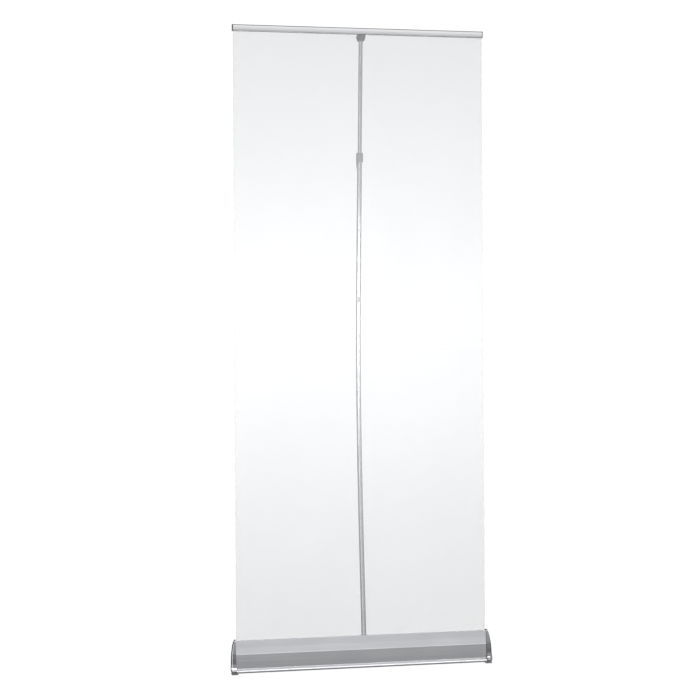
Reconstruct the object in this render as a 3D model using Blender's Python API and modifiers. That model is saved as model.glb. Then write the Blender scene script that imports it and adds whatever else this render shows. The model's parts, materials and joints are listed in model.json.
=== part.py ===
"""Roll-up banner stand: a floor base with a sprung roller, a banner sheet, a snap rail and a telescopic pole.

Metres, +Z up, the front faces -Y. Lengths inside the outline lists are in millimetres.
"""

import math

import bmesh
import bpy
from mathutils import Matrix, Vector

MM = 0.001

# Overall sizes
BASE_LENGTH = 0.8545
SLOT_HEIGHT = 0.1087
BANNER_DROP = 2.000
BANNER_LEAN = 0.040
BANNER_THICK = 0.0005
BANNER_END_GAP = 0.00225
BANNER_IN_RAIL = 0.012

# Clearances
FIT = 0.0003
RUNNING = 0.0003
CUT_PAST = 0.004

# Base
BASE_WALL = 0.0020
BASE_BOTTOM = 0.0040
BOSS_RADIUS = 0.0050
BOSS_SHORT = 0.0020
PORT_RADIUS = 0.0018
PLATE_THICK = 0.0020
HUB_WALL = 0.0037
HUB_LENGTH = 0.0045
CAP_WALL = 0.0014
CAP_THICK = 0.0190
CAP_BOTTOM = 0.0063
PEG_RADIUS = 0.0030
FOOT_DEPTH = 0.0205
FRONT_FOOT_OUTSIDE = 0.0155
REAR_FOOT_OUTSIDE = 0.0055
FOOT_INSIDE = 0.0060
FOOT_ROUND = 0.0015
FRONT_FOOT_AT = -0.0173
REAR_FOOT_AT = 0.0300

# Screws
SCREW_SHANK = 0.0015
SCREW_LENGTH = 0.0130
SCREW_HEAD = 0.0026
SCREW_HEAD_HIGH = 0.0016
SCREW_POINT = 0.0010

# Roller
ROLLER_RADIUS = 0.0150
ROLLER_WALL = 0.0015
LEADER_THICK = 0.0015
ROLLER_HEIGHT = 0.0290
ROLLER_SHORT = 0.0012
SHAFT_RADIUS = 0.0040
SHAFT_PAST_PLATE = 0.0055
ARBOR_LENGTH = 0.305
ARBOR_PAST_PLUG = 0.016
IDLE_PLUG_LENGTH = 0.030
BUSH_LENGTH = 0.024
DRIVE_PLUG_LENGTH = 0.020
SPRING_WIRE = 0.0010
SPRING_TURNS = 14
SPRING_FROM_BUSH = 0.0068
SPRING_TAIL = 0.0030

# Pole
POLE_X = 0.010
TUBE_RADIUS = 0.0080
TUBE_WALL = 0.0009
TUBE_SIDES = 20
BORE_RADIUS = (TUBE_RADIUS - TUBE_WALL) * math.cos(math.pi / TUBE_SIDES)
INNER_TUBE_RADIUS = BORE_RADIUS - RUNNING
POLE_FOOT_DEPTH = 0.020
POLE_FOOT_SLOPE = 0.115
POLE_TOP_SLOPE = -0.044
POLE_IN_BASE = 0.045
TELESCOPE_SHOWN = 0.395
TELESCOPE_HIDDEN = 0.080
TELESCOPE_TRAVEL = 0.360
PLUG_SHOULDER = 0.004
PLUG_LENGTH = 0.024
TUBE_END = PLUG_LENGTH + 0.002
SPIGOT_END = 0.004
SPIGOT_HALF = 0.035
SPIGOT_WALL = 0.0010
SOCKET_WALL = 0.0027
SOCKET_FLOOR = 0.0030
SOCKET_LENGTH = 0.046
FLANGE_THICK = 0.0020
FLANGE_BORDER = 0.0060
FLANGE_DOWN = 0.0130
FLANGE_UP = 0.0150

# Collar, in the frame of the pole's upper axis
COLLAR_WALL = 0.0032
COLLAR_BELOW = 0.0180
COLLAR_ABOVE = 0.0140
COLLAR_EDGE = 0.0015
COLLAR_SPLIT = 0.0010
EAR_RADIUS = 0.0060
EAR_OUTER = 0.0072
EAR_GAP = 0.0040
PIN_RADIUS = 0.0018
PIN_PAST_EAR = 0.0010
LEVER_EYE = 0.0055
LEVER_LENGTH = 0.036

# Rail, in the frame of the banner
JAW_PIVOT_HEIGHT = 0.0184
BEAD_RADIUS = 0.0019
CUP_INNER = BEAD_RADIUS + RUNNING
CUP_OUTER = 0.0034
RAIL_BACK_DEPTH = 0.0056
PLUG_THICK = 0.0022
PLUG_PEG = 0.0090

# Head, in the frame of the banner
HEAD_GAP = 0.0006
TONGUE_THICK = 0.0046
HEAD_WALL = 0.0028
HEAD_LOW = -0.0200
HEAD_TOP = 0.0118
HEAD_STEP = -0.0010

ROUND_SIDES = 24
SMALL_SIDES = 16
HOLE_SIDES = 12

LEAN = math.atan2(BANNER_LEAN, BANNER_DROP)
FOOT_TILT = math.atan(POLE_FOOT_SLOPE)
TOP_TILT = math.atan(POLE_TOP_SLOPE)
END_X = BASE_LENGTH / 2
BANNER_WIDTH = BASE_LENGTH - 2 * BANNER_END_GAP
RAIL_LENGTH = BANNER_WIDTH + 2 * FIT
HUB_RADIUS = SHAFT_RADIUS + RUNNING + HUB_WALL
SPRING_RADIUS = (SHAFT_RADIUS + ROLLER_RADIUS - ROLLER_WALL) / 2
SOCKET_RADIUS = TUBE_RADIUS + RUNNING + SOCKET_WALL
COLLAR_RADIUS = TUBE_RADIUS + RUNNING + COLLAR_WALL
LEVER_PIN_BACK = COLLAR_RADIUS + EAR_RADIUS - 0.0005
POLE_BOTTOM = SLOT_HEIGHT - POLE_IN_BASE
POLE_TOP_REACH = RAIL_BACK_DEPTH + HEAD_GAP + TONGUE_THICK + TUBE_RADIUS
LEADER_RADIUS = ROLLER_RADIUS + FIT + LEADER_THICK
RAIL_BOTTOM_Z = SLOT_HEIGHT + BANNER_DROP * math.cos(LEAN)
COLLAR_Z = RAIL_BOTTOM_Z - TELESCOPE_SHOWN - 0.010
BEND_TOP_Z = COLLAR_Z - TELESCOPE_HIDDEN - TELESCOPE_TRAVEL - 0.010
JOINT_Z = POLE_BOTTOM + 0.48 * (COLLAR_Z - POLE_BOTTOM)
TOP_Z = RAIL_BOTTOM_Z - 0.010
ROLLER_DEPTH = (ROLLER_HEIGHT - SLOT_HEIGHT) * math.tan(LEAN) + LEADER_RADIUS + FIT + BANNER_THICK / 2

SLOT_MM = SLOT_HEIGHT / MM
FLOOR_MM = BASE_BOTTOM / MM
CAP_MM = CAP_BOTTOM / MM
JAW_MM = JAW_PIVOT_HEIGHT / MM
BACK_MM = RAIL_BACK_DEPTH / MM

# Outer wall of the base from the front of the slot round to its rear, (depth, height)
SHELL = (
    (-1.8, SLOT_MM), (-3.6, SLOT_MM - 0.8), (-11.0, SLOT_MM - 43.0), (-11.6, SLOT_MM - 45.5),
    (-15.6, FLOOR_MM + 13.4), (-19.6, FLOOR_MM + 10.2), (-22.6, FLOOR_MM + 7.0), (-23.2, FLOOR_MM + 3.0),
    (-21.6, FLOOR_MM), (38.0, FLOOR_MM), (42.0, FLOOR_MM + 4.0), (43.2, FLOOR_MM + 14.5),
    (42.4, FLOOR_MM + 30.0), (40.0, SLOT_MM - 59.2), (36.5, SLOT_MM - 44.7), (31.0, SLOT_MM - 30.7),
    (5.0, SLOT_MM - 3.5), (2.6, SLOT_MM - 2.0),
)
REAR_SLOPE = (15, 16)
FLANGE_SHARE = 0.44

# End plate, inside the cap's hollow, (depth, height)
PLATE = (
    (0.0, SLOT_MM - 5.0), (-2.6, SLOT_MM - 7.0), (-8.8, SLOT_MM - 43.5), (-12.8, FLOOR_MM + 16.0),
    (-18.6, FLOOR_MM + 9.4), (-18.6, FLOOR_MM + 4.4), (36.6, FLOOR_MM + 4.4), (39.4, FLOOR_MM + 7.6),
    (40.4, FLOOR_MM + 14.5), (39.7, FLOOR_MM + 29.5), (37.4, SLOT_MM - 59.7), (34.1, SLOT_MM - 46.2),
    (29.2, SLOT_MM - 33.7), (4.0, SLOT_MM - 6.6),
)

# Rim of the end cap, (depth, height)
CAP_RIM = (
    (-25.6, CAP_MM), (-27.2, CAP_MM + 2.1), (-26.8, CAP_MM + 5.9), (-23.8, CAP_MM + 10.5),
    (-20.2, CAP_MM + 16.7), (-18.2, CAP_MM + 27.7), (-16.4, SLOT_MM - 58.7), (-14.2, SLOT_MM - 41.7),
    (-11.4, SLOT_MM - 25.7), (-8.2, SLOT_MM - 10.1), (-5.8, SLOT_MM - 0.7), (-2.8, SLOT_MM + 2.7),
    (1.0, SLOT_MM + 3.6), (5.2, SLOT_MM + 2.3), (12.4, SLOT_MM - 3.1), (22.4, SLOT_MM - 12.7),
    (34.0, SLOT_MM - 25.7), (41.0, SLOT_MM - 40.7), (44.4, SLOT_MM - 56.7), (46.2, CAP_MM + 28.7),
    (46.8, CAP_MM + 13.7), (46.0, CAP_MM),
)
CAP_CENTRE = (6.0, 42.0)
CAP_RINGS = ((1.0, 0.50), (0.985, 0.70), (0.95, 0.85), (0.88, 0.95), (0.72, 1.0))
# How full the cap is by depth, and by height from the slot
CAP_BY_DEPTH = ((-0.016, 1.0), (0.0, 0.78), (0.020, 0.56), (0.047, 0.32))
CAP_BY_HEIGHT = ((-0.060, 1.0), (-0.040, 0.97), (-0.020, 0.80), (-0.005, 0.60), (0.004, 0.50))

# Screw ports in the base, (depth, height)
PORTS = ((-15.0, FLOOR_MM + 6.7), (36.0, FLOOR_MM + 6.7), (32.2, SLOT_MM - 54.7))
# Snap pegs of the caps, (depth, height)
PEGS = ((-2.0, SLOT_MM - 35.0), (18.0, SLOT_MM - 33.0))


def clear_scene():
    """Removes what the scene holds."""
    for obj in list(bpy.data.objects):
        bpy.data.objects.remove(obj, do_unlink=True)


def collection(name):
    """A new collection in the scene."""
    made = bpy.data.collections.new(name)
    bpy.context.scene.collection.children.link(made)
    return made


def finish(name, colour, roughness, metallic):
    """A Principled material for one sub-part."""
    made = bpy.data.materials.new(name)
    made.use_nodes = True
    shader = made.node_tree.nodes["Principled BSDF"]
    shader.inputs["Base Color"].default_value = (*colour, 1.0)
    shader.inputs["Roughness"].default_value = roughness
    shader.inputs["Metallic"].default_value = metallic
    return made


def anodised(name):
    """Satin anodised aluminium."""
    return finish(name + "_anodised", (0.60, 0.61, 0.64), 0.38, 1.0)


def chrome(name):
    """Bright chrome plate."""
    return finish(name + "_chrome", (0.70, 0.70, 0.71), 0.10, 1.0)


def steel(name):
    """Plain zinc-plated steel."""
    return finish(name + "_steel", (0.50, 0.50, 0.51), 0.35, 1.0)


def plastic(name):
    """Grey moulded plastic."""
    return finish(name + "_plastic", (0.32, 0.32, 0.34), 0.45, 0.0)


def rubber(name):
    """Dark rubber."""
    return finish(name + "_rubber", (0.06, 0.06, 0.06), 0.85, 0.0)


def film(name):
    """White banner film."""
    return finish(name + "_film", (0.86, 0.87, 0.89), 0.40, 0.0)


def mm(points):
    """Outline points from millimetres to metres."""
    return [(a * MM, b * MM) for a, b in points]


def frame_at(name, parent, location, tilt):
    """An empty that holds a tilted frame; a positive tilt leans its +Z towards the back."""
    made = bpy.data.objects.new(name, None)
    bpy.context.scene.collection.objects.link(made)
    made.parent = parent
    made.location = location
    made.rotation_euler = (-tilt, 0.0, 0.0)
    return made


def add(name, mesh, group, material=None, parent=None, location=(0, 0, 0), rotation=(0, 0, 0)):
    """A mesh as a placed object."""
    made = bpy.data.objects.new(name, mesh)
    group.objects.link(made)
    if material is not None and not mesh.materials:
        mesh.materials.append(material)
    made.parent = parent
    made.location = location
    made.rotation_euler = rotation
    return made


def mesh_from(bm, name):
    """A mesh datablock from a bmesh, with its faces turned outwards."""
    bmesh.ops.recalc_face_normals(bm, faces=bm.faces)
    made = bpy.data.meshes.new(name)
    bm.to_mesh(made)
    bm.free()
    return made


def smooth(obj, angle=40):
    """Shades a round piece smooth, with its edges kept sharp."""
    for face in obj.data.polygons:
        face.use_smooth = True
    obj.data.set_sharp_from_angle(angle=math.radians(angle))


def curve_mesh(curve, name):
    """The mesh of a curve, with the points along its caps joined."""
    holder = bpy.data.objects.new(name, curve)
    bpy.context.scene.collection.objects.link(holder)
    graph = bpy.context.evaluated_depsgraph_get()
    made = bpy.data.meshes.new_from_object(holder.evaluated_get(graph))
    bpy.data.objects.remove(holder)
    bm = bmesh.new()
    bm.from_mesh(made)
    bmesh.ops.remove_doubles(bm, verts=bm.verts, dist=1e-6)
    bm.to_mesh(made)
    bm.free()
    return made


def profile_mesh(name, outline, x_from, x_to):
    """A (depth, height) outline drawn out along X."""
    curve = bpy.data.curves.new(name, "CURVE")
    curve.dimensions = "2D"
    curve.fill_mode = "BOTH"
    curve.extrude = (x_to - x_from) / 2
    line = curve.splines.new("POLY")
    line.points.add(len(outline) - 1)
    for point, (depth, height) in zip(line.points, outline):
        point.co = (depth, height, 0.0, 1.0)
    line.use_cyclic_u = True
    made = curve_mesh(curve, name)
    turn = Matrix(((0, 0, 1, (x_from + x_to) / 2), (1, 0, 0, 0), (0, 1, 0, 0), (0, 0, 0, 1)))
    made.transform(turn)
    return made


def offset_line(points, distance):
    """An open or closed outline moved sideways by mitred corners, to the right of its direction."""
    closed = points[0] == points[-1]
    line = points[:-1] if closed else points
    count = len(line)
    moved = []
    for i, here in enumerate(line):
        sides = []
        for a, b in ((i - 1, i), (i, i + 1)):
            if closed or (a >= 0 and b < count):
                p, q = Vector(line[a % count]), Vector(line[b % count])
                step = (q - p).normalized()
                sides.append(Vector((step.y, -step.x)))
        normal = sum(sides, Vector((0.0, 0.0))).normalized()
        reach = distance / normal.dot(sides[0])
        moved.append((here[0] + normal.x * reach, here[1] + normal.y * reach))
    return moved


def closed_inset(outline, distance):
    """A closed outline that runs clockwise, moved inwards."""
    return offset_line(outline + [outline[0]], distance)


def cylinder_mesh(name, radius, length, sides=ROUND_SIDES):
    """A cylinder on the Z axis, centred on its origin."""
    bm = bmesh.new()
    bmesh.ops.create_cone(
        bm, cap_ends=True, segments=sides, radius1=radius, radius2=radius, depth=length
    )
    return mesh_from(bm, name)


def box_mesh(name, low, high):
    """A box between two corners."""
    bm = bmesh.new()
    bmesh.ops.create_cube(bm, size=1.0)
    for vert in bm.verts:
        vert.co = Vector(
            (a + (b - a) * (c + 0.5) for a, b, c in zip(low, high, vert.co))
        )
    return mesh_from(bm, name)


def turned(name, profile, group, material, parent, location=(0, 0, 0), turn=(0, 0, 0), sides=ROUND_SIDES):
    """A (radius, height) profile turned about Z. It runs down the outer side from the top."""
    mesh = bpy.data.meshes.new(name)
    closed = profile[0][0] > 0 and profile[-1][0] > 0
    edges = [(i, i + 1) for i in range(len(profile) - 1)]
    if closed:
        edges.append((len(profile) - 1, 0))
    mesh.from_pydata([(radius, 0.0, height) for radius, height in profile], edges, [])
    made = add(name, mesh, group, material, parent, location, turn)
    screw = made.modifiers.new("turn", "SCREW")
    screw.steps = sides
    screw.render_steps = sides
    screw.use_merge_vertices = True
    screw.merge_threshold = 0.00001
    screw.use_smooth_shade = True
    return made


def ring_profile(outer, inner, low, high):
    """A plain sleeve for turned()."""
    return [(outer, high), (outer, low), (inner, low), (inner, high)]


def read_off(spots, value):
    """The share at a value, along a line of (value, share) spots."""
    if value <= spots[0][0]:
        return spots[0][1]
    for (a, first), (b, second) in zip(spots, spots[1:]):
        if value <= b:
            return first + (second - first) * (value - a) / (b - a)
    return spots[-1][1]


def boolean(target, tool, how):
    """A live Boolean of target with a hidden tool."""
    step = target.modifiers.new(how.lower(), "BOOLEAN")
    step.operation = how
    step.solver = "EXACT"
    step.object = tool
    return target


class Stand:
    """Builds the stand, sub-part by sub-part, in one shared frame."""

    def __init__(self):
        self.parts = collection("rollup_banner_stand")
        self.tools = collection("cutters")
        self.tools.hide_render = True
        self.root = bpy.data.objects.new("stand_frame", None)
        bpy.context.scene.collection.objects.link(self.root)
        self.banner = frame_at("banner_frame", self.root, (0, 0, SLOT_HEIGHT), LEAN)
        foot = self.pole_point(POLE_BOTTOM)
        self.foot = frame_at("pole_foot_frame", self.root, foot, FOOT_TILT)
        self.top = frame_at("pole_top_frame", self.root, self.pole_point(COLLAR_Z), TOP_TILT)

    def tool(self, name, mesh, parent=None, location=(0, 0, 0), rotation=(0, 0, 0)):
        """A hidden object for Booleans."""
        made = add(name, mesh, self.tools, None, parent or self.root, location, rotation)
        made.hide_render = True
        made.display_type = "WIRE"
        return made

    def bar_tool(self, name, radius, x_from, x_to, spot, sides=SMALL_SIDES):
        """A hidden cylinder along X at a (depth, height) spot in millimetres."""
        mesh = cylinder_mesh(name, radius, x_to - x_from, sides)
        place = ((x_from + x_to) / 2, spot[0] * MM, spot[1] * MM)
        return self.tool(name, mesh, None, place, (0, math.pi / 2, 0))

    # Base

    def base_extrusion(self):
        """The base's aluminium shell, open at its slot, with three screw ports."""
        outer = mm(SHELL)
        inner = offset_line(outer, -BASE_WALL)
        mesh = profile_mesh("base_extrusion", outer + inner[::-1], -END_X, END_X)
        shell = add("base_extrusion", mesh, self.parts, anodised("base_extrusion"), self.root)
        for n, spot in enumerate(PORTS):
            reach = END_X - BOSS_SHORT
            boolean(shell, self.bar_tool(f"port_body_{n}", BOSS_RADIUS, -reach, reach, spot), "UNION")
        for n, spot in enumerate(PORTS):
            reach = END_X + CUT_PAST
            hole = self.bar_tool(f"port_hole_{n}", PORT_RADIUS, -reach, reach, spot, HOLE_SIDES)
            boolean(shell, hole, "DIFFERENCE")
        hole = cylinder_mesh("socket_hole", SOCKET_RADIUS + FIT, SOCKET_LENGTH + 0.014)
        boolean(shell, self.tool("socket_hole", hole, self.foot, (0, 0, POLE_IN_BASE - 0.010)), "DIFFERENCE")
        return shell

    def end_plate(self, side, name):
        """The steel plate behind a cap: it carries the roller's shaft and closes the shell."""
        outline = mm(PLATE)
        near = END_X + FIT
        far = near + PLATE_THICK
        low, high = (near, far) if side > 0 else (-far, -near)
        mesh = profile_mesh(name, outline, low, high)
        plate = add(name, mesh, self.parts, steel(name), self.root)
        spot = (ROLLER_DEPTH / MM, ROLLER_HEIGHT / MM)
        ends = sorted((side * (near + 0.001), side * (far + HUB_LENGTH)))
        boolean(plate, self.bar_tool(name + "_hub", HUB_RADIUS, *ends, spot, ROUND_SIDES), "UNION")
        ends = sorted((side * (near - CUT_PAST), side * (far + HUB_LENGTH + CUT_PAST)))
        bore = SHAFT_RADIUS + RUNNING
        boolean(plate, self.bar_tool(name + "_bore", bore, *ends, spot, ROUND_SIDES), "DIFFERENCE")
        for n, port in enumerate(PORTS):
            hole = self.bar_tool(f"{name}_screw_hole_{n}", PORT_RADIUS, *ends, port, HOLE_SIDES)
            boolean(plate, hole, "DIFFERENCE")
        for n, peg in enumerate(PEGS):
            hole = self.bar_tool(f"{name}_peg_hole_{n}", PEG_RADIUS + FIT, *ends, peg)
            boolean(plate, hole, "DIFFERENCE")
        return plate

    def plate_screw(self, side, name, spot):
        """A pan-head screw through an end plate into a port of the shell."""
        head_at = END_X + FIT + PLATE_THICK + FIT
        profile = [
            (0.0, SCREW_HEAD_HIGH),
            (SCREW_HEAD * 0.6, SCREW_HEAD_HIGH),
            (SCREW_HEAD, SCREW_HEAD_HIGH * 0.45),
            (SCREW_HEAD, 0.0),
            (SCREW_SHANK, 0.0),
            (SCREW_SHANK, -SCREW_LENGTH + SCREW_POINT),
            (SCREW_SHANK * 0.5, -SCREW_LENGTH),
            (0.0, -SCREW_LENGTH),
        ]
        place = (side * head_at, spot[0] * MM, spot[1] * MM)
        turn = (0, side * math.pi / 2, 0)
        return turned(name, profile, self.parts, steel(name), self.root, place, turn, SMALL_SIDES)

    def cap_block(self, name, side, rim, wall, start):
        """A domed block over a rim outline: full at the front, thinner towards the rear and the top."""
        bm = bmesh.new()
        near = END_X + FIT
        face = bm.faces.new([bm.verts.new((near + start, y, z)) for y, z in rim])
        centre = [c * MM for c in CAP_CENTRE]
        last = 1.0
        for scale, share in CAP_RINGS:
            grown = bmesh.ops.extrude_face_region(bm, geom=[face])["geom"]
            if face.is_valid:
                bmesh.ops.delete(bm, geom=[face], context="FACES_ONLY")
            for vert in (v for v in grown if isinstance(v, bmesh.types.BMVert)):
                y, z = (m + (a - m) * scale / last for a, m in zip(vert.co.yz, centre))
                vert.co = (near + CAP_THICK * share * self.cap_taper(y, z) - wall, y, z)
            face = next(f for f in grown if isinstance(f, bmesh.types.BMFace))
            last = scale
        bmesh.ops.holes_fill(bm, edges=[e for e in bm.edges if e.is_boundary])
        for vert in bm.verts:
            vert.co.x *= side
        return mesh_from(bm, name)

    def cap_taper(self, depth, height):
        """How full the cap is at this spot, from 1 at the front below."""
        return read_off(CAP_BY_DEPTH, depth) * read_off(CAP_BY_HEIGHT, height - SLOT_HEIGHT)

    def end_cap(self, side, name):
        """A hollow chrome cap that snaps over an end plate by two pegs."""
        rim = mm(CAP_RIM)
        block = self.cap_block(name, side, rim, 0.0, 0.0)
        cap = add(name, block, self.parts, chrome(name), self.root)
        hollow = self.cap_block(name + "_hollow", side, closed_inset(rim, CAP_WALL), CAP_WALL, -CUT_PAST)
        boolean(cap, self.tool(name + "_hollow", hollow), "DIFFERENCE")
        for n, peg in enumerate(PEGS):
            reach = CAP_THICK * self.cap_taper(peg[0] * MM, peg[1] * MM) - CAP_WALL / 2
            ends = sorted((side * (END_X + 2 * FIT), side * (END_X + FIT + reach)))
            boolean(cap, self.bar_tool(f"{name}_peg_{n}", PEG_RADIUS, *ends, peg), "UNION")
        smooth(cap, 30)
        return cap

    def foot_pad(self, side, name, depth, outside):
        """A rubber foot: thick under the cap, with a thinner step under the end of the base."""
        front = depth - FOOT_DEPTH / 2
        rear = depth + FOOT_DEPTH / 2
        low, high = sorted((side * (END_X + 2 * FIT), side * (END_X + outside)))
        block = box_mesh(name, (low, front, 0.0), (high, rear, CAP_BOTTOM - FIT))
        pad = add(name, block, self.parts, rubber(name), self.root)
        low, high = sorted((side * (END_X - FOOT_INSIDE), side * (END_X + outside / 2)))
        step = box_mesh(name + "_step", (low, front, 0.0), (high, rear, BASE_BOTTOM - FIT))
        boolean(pad, self.tool(name + "_step", step), "UNION")
        bevel = pad.modifiers.new("rounded", "BEVEL")
        bevel.width = FOOT_ROUND
        bevel.segments = 2
        return pad

    # Roller

    def roller_piece(self, name, profile, centre_x, material, sides=ROUND_SIDES):
        """A turned piece on the roller's axis; its profile's height runs along +X."""
        place = (centre_x, ROLLER_DEPTH, ROLLER_HEIGHT)
        return turned(name, profile, self.parts, material, self.root, place, (0, math.pi / 2, 0), sides)

    def roller(self):
        """The tube that winds the banner, its two end plugs, and the plug that the spring drives."""
        half = END_X - ROLLER_SHORT
        bore = ROLLER_RADIUS - ROLLER_WALL
        body = bore - FIT
        shaft_end = END_X + FIT + PLATE_THICK + SHAFT_PAST_PLATE
        tube = ring_profile(ROLLER_RADIUS, bore, -half, half)
        self.roller_piece("roller_tube", tube, 0.0, anodised("roller_tube"))
        wrap = ring_profile(LEADER_RADIUS, ROLLER_RADIUS + FIT, -BANNER_WIDTH / 2, BANNER_WIDTH / 2)
        self.roller_piece("leader_wrap", wrap, 0.0, film("leader_wrap"))
        idle = [(0.0, IDLE_PLUG_LENGTH), (body * 0.8, IDLE_PLUG_LENGTH), (body, IDLE_PLUG_LENGTH - 0.002)]
        idle += [(body, 0.0), (SHAFT_RADIUS, 0.0)]
        idle += [(SHAFT_RADIUS, half - shaft_end), (0.0, half - shaft_end)]
        self.roller_piece("roller_idle_plug", idle, -half, plastic("roller_idle_plug"))
        bush = ring_profile(body, SHAFT_RADIUS + RUNNING, -BUSH_LENGTH, 0.0)
        self.roller_piece("arbor_bush", bush, half, plastic("arbor_bush"))
        drive = ring_profile(body, SHAFT_RADIUS + RUNNING, -DRIVE_PLUG_LENGTH, 0.0)
        drive_at = shaft_end - ARBOR_LENGTH + ARBOR_PAST_PLUG
        self.roller_piece("spring_drive_plug", drive, drive_at, plastic("spring_drive_plug"))
        return drive_at

    def spring(self, drive_at):
        """The fixed arbor and the torsion spring wound round it."""
        shaft_end = END_X + FIT + PLATE_THICK + SHAFT_PAST_PLATE
        rod = [(0.0, 0.0), (SHAFT_RADIUS, 0.0), (SHAFT_RADIUS, -ARBOR_LENGTH), (0.0, -ARBOR_LENGTH)]
        self.roller_piece("spring_arbor", rod, shaft_end, steel("spring_arbor"))
        start = drive_at + SPRING_WIRE + FIT
        end = END_X - ROLLER_SHORT - BUSH_LENGTH - SPRING_FROM_BUSH
        steps = 12
        points = []
        for i in range(SPRING_TURNS * steps + 1):
            turn = i * 2 * math.pi / steps
            along = start + (end - start) * i / (SPRING_TURNS * steps)
            points.append((along, SPRING_RADIUS * math.cos(turn), SPRING_RADIUS * math.sin(turn)))
        last = points[-1]
        points.append((last[0] + SPRING_TAIL, SHAFT_RADIUS + SPRING_WIRE + FIT, 0.0))
        curve = bpy.data.curves.new("torsion_spring", "CURVE")
        curve.dimensions = "3D"
        curve.bevel_depth = SPRING_WIRE
        curve.bevel_resolution = 0
        curve.use_fill_caps = True
        line = curve.splines.new("POLY")
        line.points.add(len(points) - 1)
        for point, place in zip(line.points, points):
            point.co = (*place, 1.0)
        mesh = curve_mesh(curve, "torsion_spring")
        place = (0.0, ROLLER_DEPTH, ROLLER_HEIGHT)
        spring = add("torsion_spring", mesh, self.parts, steel("torsion_spring"), self.root, place)
        smooth(spring)

    def banner_sheet(self):
        """The banner, from the roller up through the slot and into the rail."""
        low = (-BANNER_WIDTH / 2, -BANNER_THICK / 2, (ROLLER_HEIGHT - SLOT_HEIGHT) / math.cos(LEAN))
        high = (BANNER_WIDTH / 2, BANNER_THICK / 2, BANNER_DROP + BANNER_IN_RAIL)
        sheet = box_mesh("banner_sheet", low, high)
        add("banner_sheet", sheet, self.parts, film("banner_sheet"), self.banner)

    # Rail

    def arc(self, radius, start, end, count):
        """Points on an arc about the jaw's pivot, in degrees from the rear, up over the top."""
        found = []
        for i in range(count + 1):
            angle = math.radians(start + (end - start) * i / count)
            found.append((radius * math.cos(angle), JAW_PIVOT_HEIGHT + radius * math.sin(angle)))
        return found

    def rail_back(self):
        """The rail's rear half: a wall with a lip below and a cup above for the jaw's bead."""
        outline = self.arc(CUP_OUTER, 200, 264, 3)
        outline += mm([(3.0, JAW_MM - 4.8), (3.6, JAW_MM - 6.6), (3.6, 3.0), (0.6, 2.6), (0.6, 0.4)])
        outline += mm([(1.0, 0.0)])
        outline += mm([(4.8, 0.0), (BACK_MM, 1.0), (BACK_MM, JAW_MM - 4.1), (4.0, JAW_MM - 1.6)])
        outline += self.arc(CUP_OUTER, 365, 470, 6)
        outline += self.arc(CUP_INNER, 470, 200, 14)
        mesh = profile_mesh("rail_back", outline, -RAIL_LENGTH / 2, RAIL_LENGTH / 2)
        add("rail_back", mesh, self.parts, anodised("rail_back"), self.banner, (0, 0, BANNER_DROP))

    def rail_jaw(self):
        """The rail's front half, which turns about its bead to let the banner in."""
        outline = self.arc(BEAD_RADIUS, 158, -158, 14)
        outline += mm([(-3.6, JAW_MM - 0.8), (-4.1, JAW_MM - 2.0), (-4.5, 10.0), (-4.1, 3.0), (-0.6, 2.6)])
        outline += mm([(-0.6, 0.4), (-1.0, 0.0), (-4.6, 0.0), (-5.4, 0.8), (-5.9, 5.0), (-6.0, 11.0)])
        outline += mm([(-5.7, JAW_MM - 2.2), (-5.0, JAW_MM - 0.2), (-3.9, JAW_MM + 0.8)])
        half = RAIL_LENGTH / 2 - FIT
        mesh = profile_mesh("rail_jaw", outline[::-1], -half, half)
        add("rail_jaw", mesh, self.parts, anodised("rail_jaw"), self.banner, (0, 0, BANNER_DROP))

    def rail_plug(self, side, name):
        """A plastic plug on one end of the rail's rear half."""
        near = RAIL_LENGTH / 2 + FIT
        outline = mm([(-5.6, -0.4), (5.2, -0.4), (6.2, 0.6), (6.2, JAW_MM + 0.4), (4.0, JAW_MM + 3.4)])
        outline += mm([(1.0, JAW_MM + 4.0), (-1.2, JAW_MM + 4.0), (-4.2, JAW_MM + 3.0), (-6.2, JAW_MM + 0.4)])
        outline += mm([(-6.4, 0.6)])
        low, high = sorted((side * near, side * (near + PLUG_THICK)))
        mesh = profile_mesh(name, outline, low, high)
        plug = add(name, mesh, self.parts, plastic(name), self.banner, (0, 0, BANNER_DROP))
        ends = sorted((side * (near - PLUG_PEG), side * (near + PLUG_THICK / 2)))
        peg = box_mesh(name + "_peg", (ends[0], 0.0010, 0.0040), (ends[1], 0.0032, 0.0098))
        boolean(plug, self.tool(name + "_peg", peg, self.banner, (0, 0, BANNER_DROP)), "UNION")

    # Pole

    def pole_depth(self, height):
        """How far behind the slot the pole's centre line stands at this height."""
        top = BANNER_LEAN * (TOP_Z - SLOT_HEIGHT) / BANNER_DROP + POLE_TOP_REACH
        if height >= BEND_TOP_Z:
            return top + POLE_TOP_SLOPE * (height - TOP_Z)
        if height <= SLOT_HEIGHT:
            return POLE_FOOT_DEPTH + POLE_FOOT_SLOPE * (height - SLOT_HEIGHT)
        span = BEND_TOP_Z - SLOT_HEIGHT
        t = (height - SLOT_HEIGHT) / span
        bend = top + POLE_TOP_SLOPE * (BEND_TOP_Z - TOP_Z)
        return (
            (2 * t**3 - 3 * t**2 + 1) * POLE_FOOT_DEPTH
            + (t**3 - 2 * t**2 + t) * span * POLE_FOOT_SLOPE
            + (3 * t**2 - 2 * t**3) * bend
            + (t**3 - t**2) * span * POLE_TOP_SLOPE
        )

    def pole_point(self, height):
        """The pole's centre line at this height."""
        return Vector((POLE_X, self.pole_depth(height), height))

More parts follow.
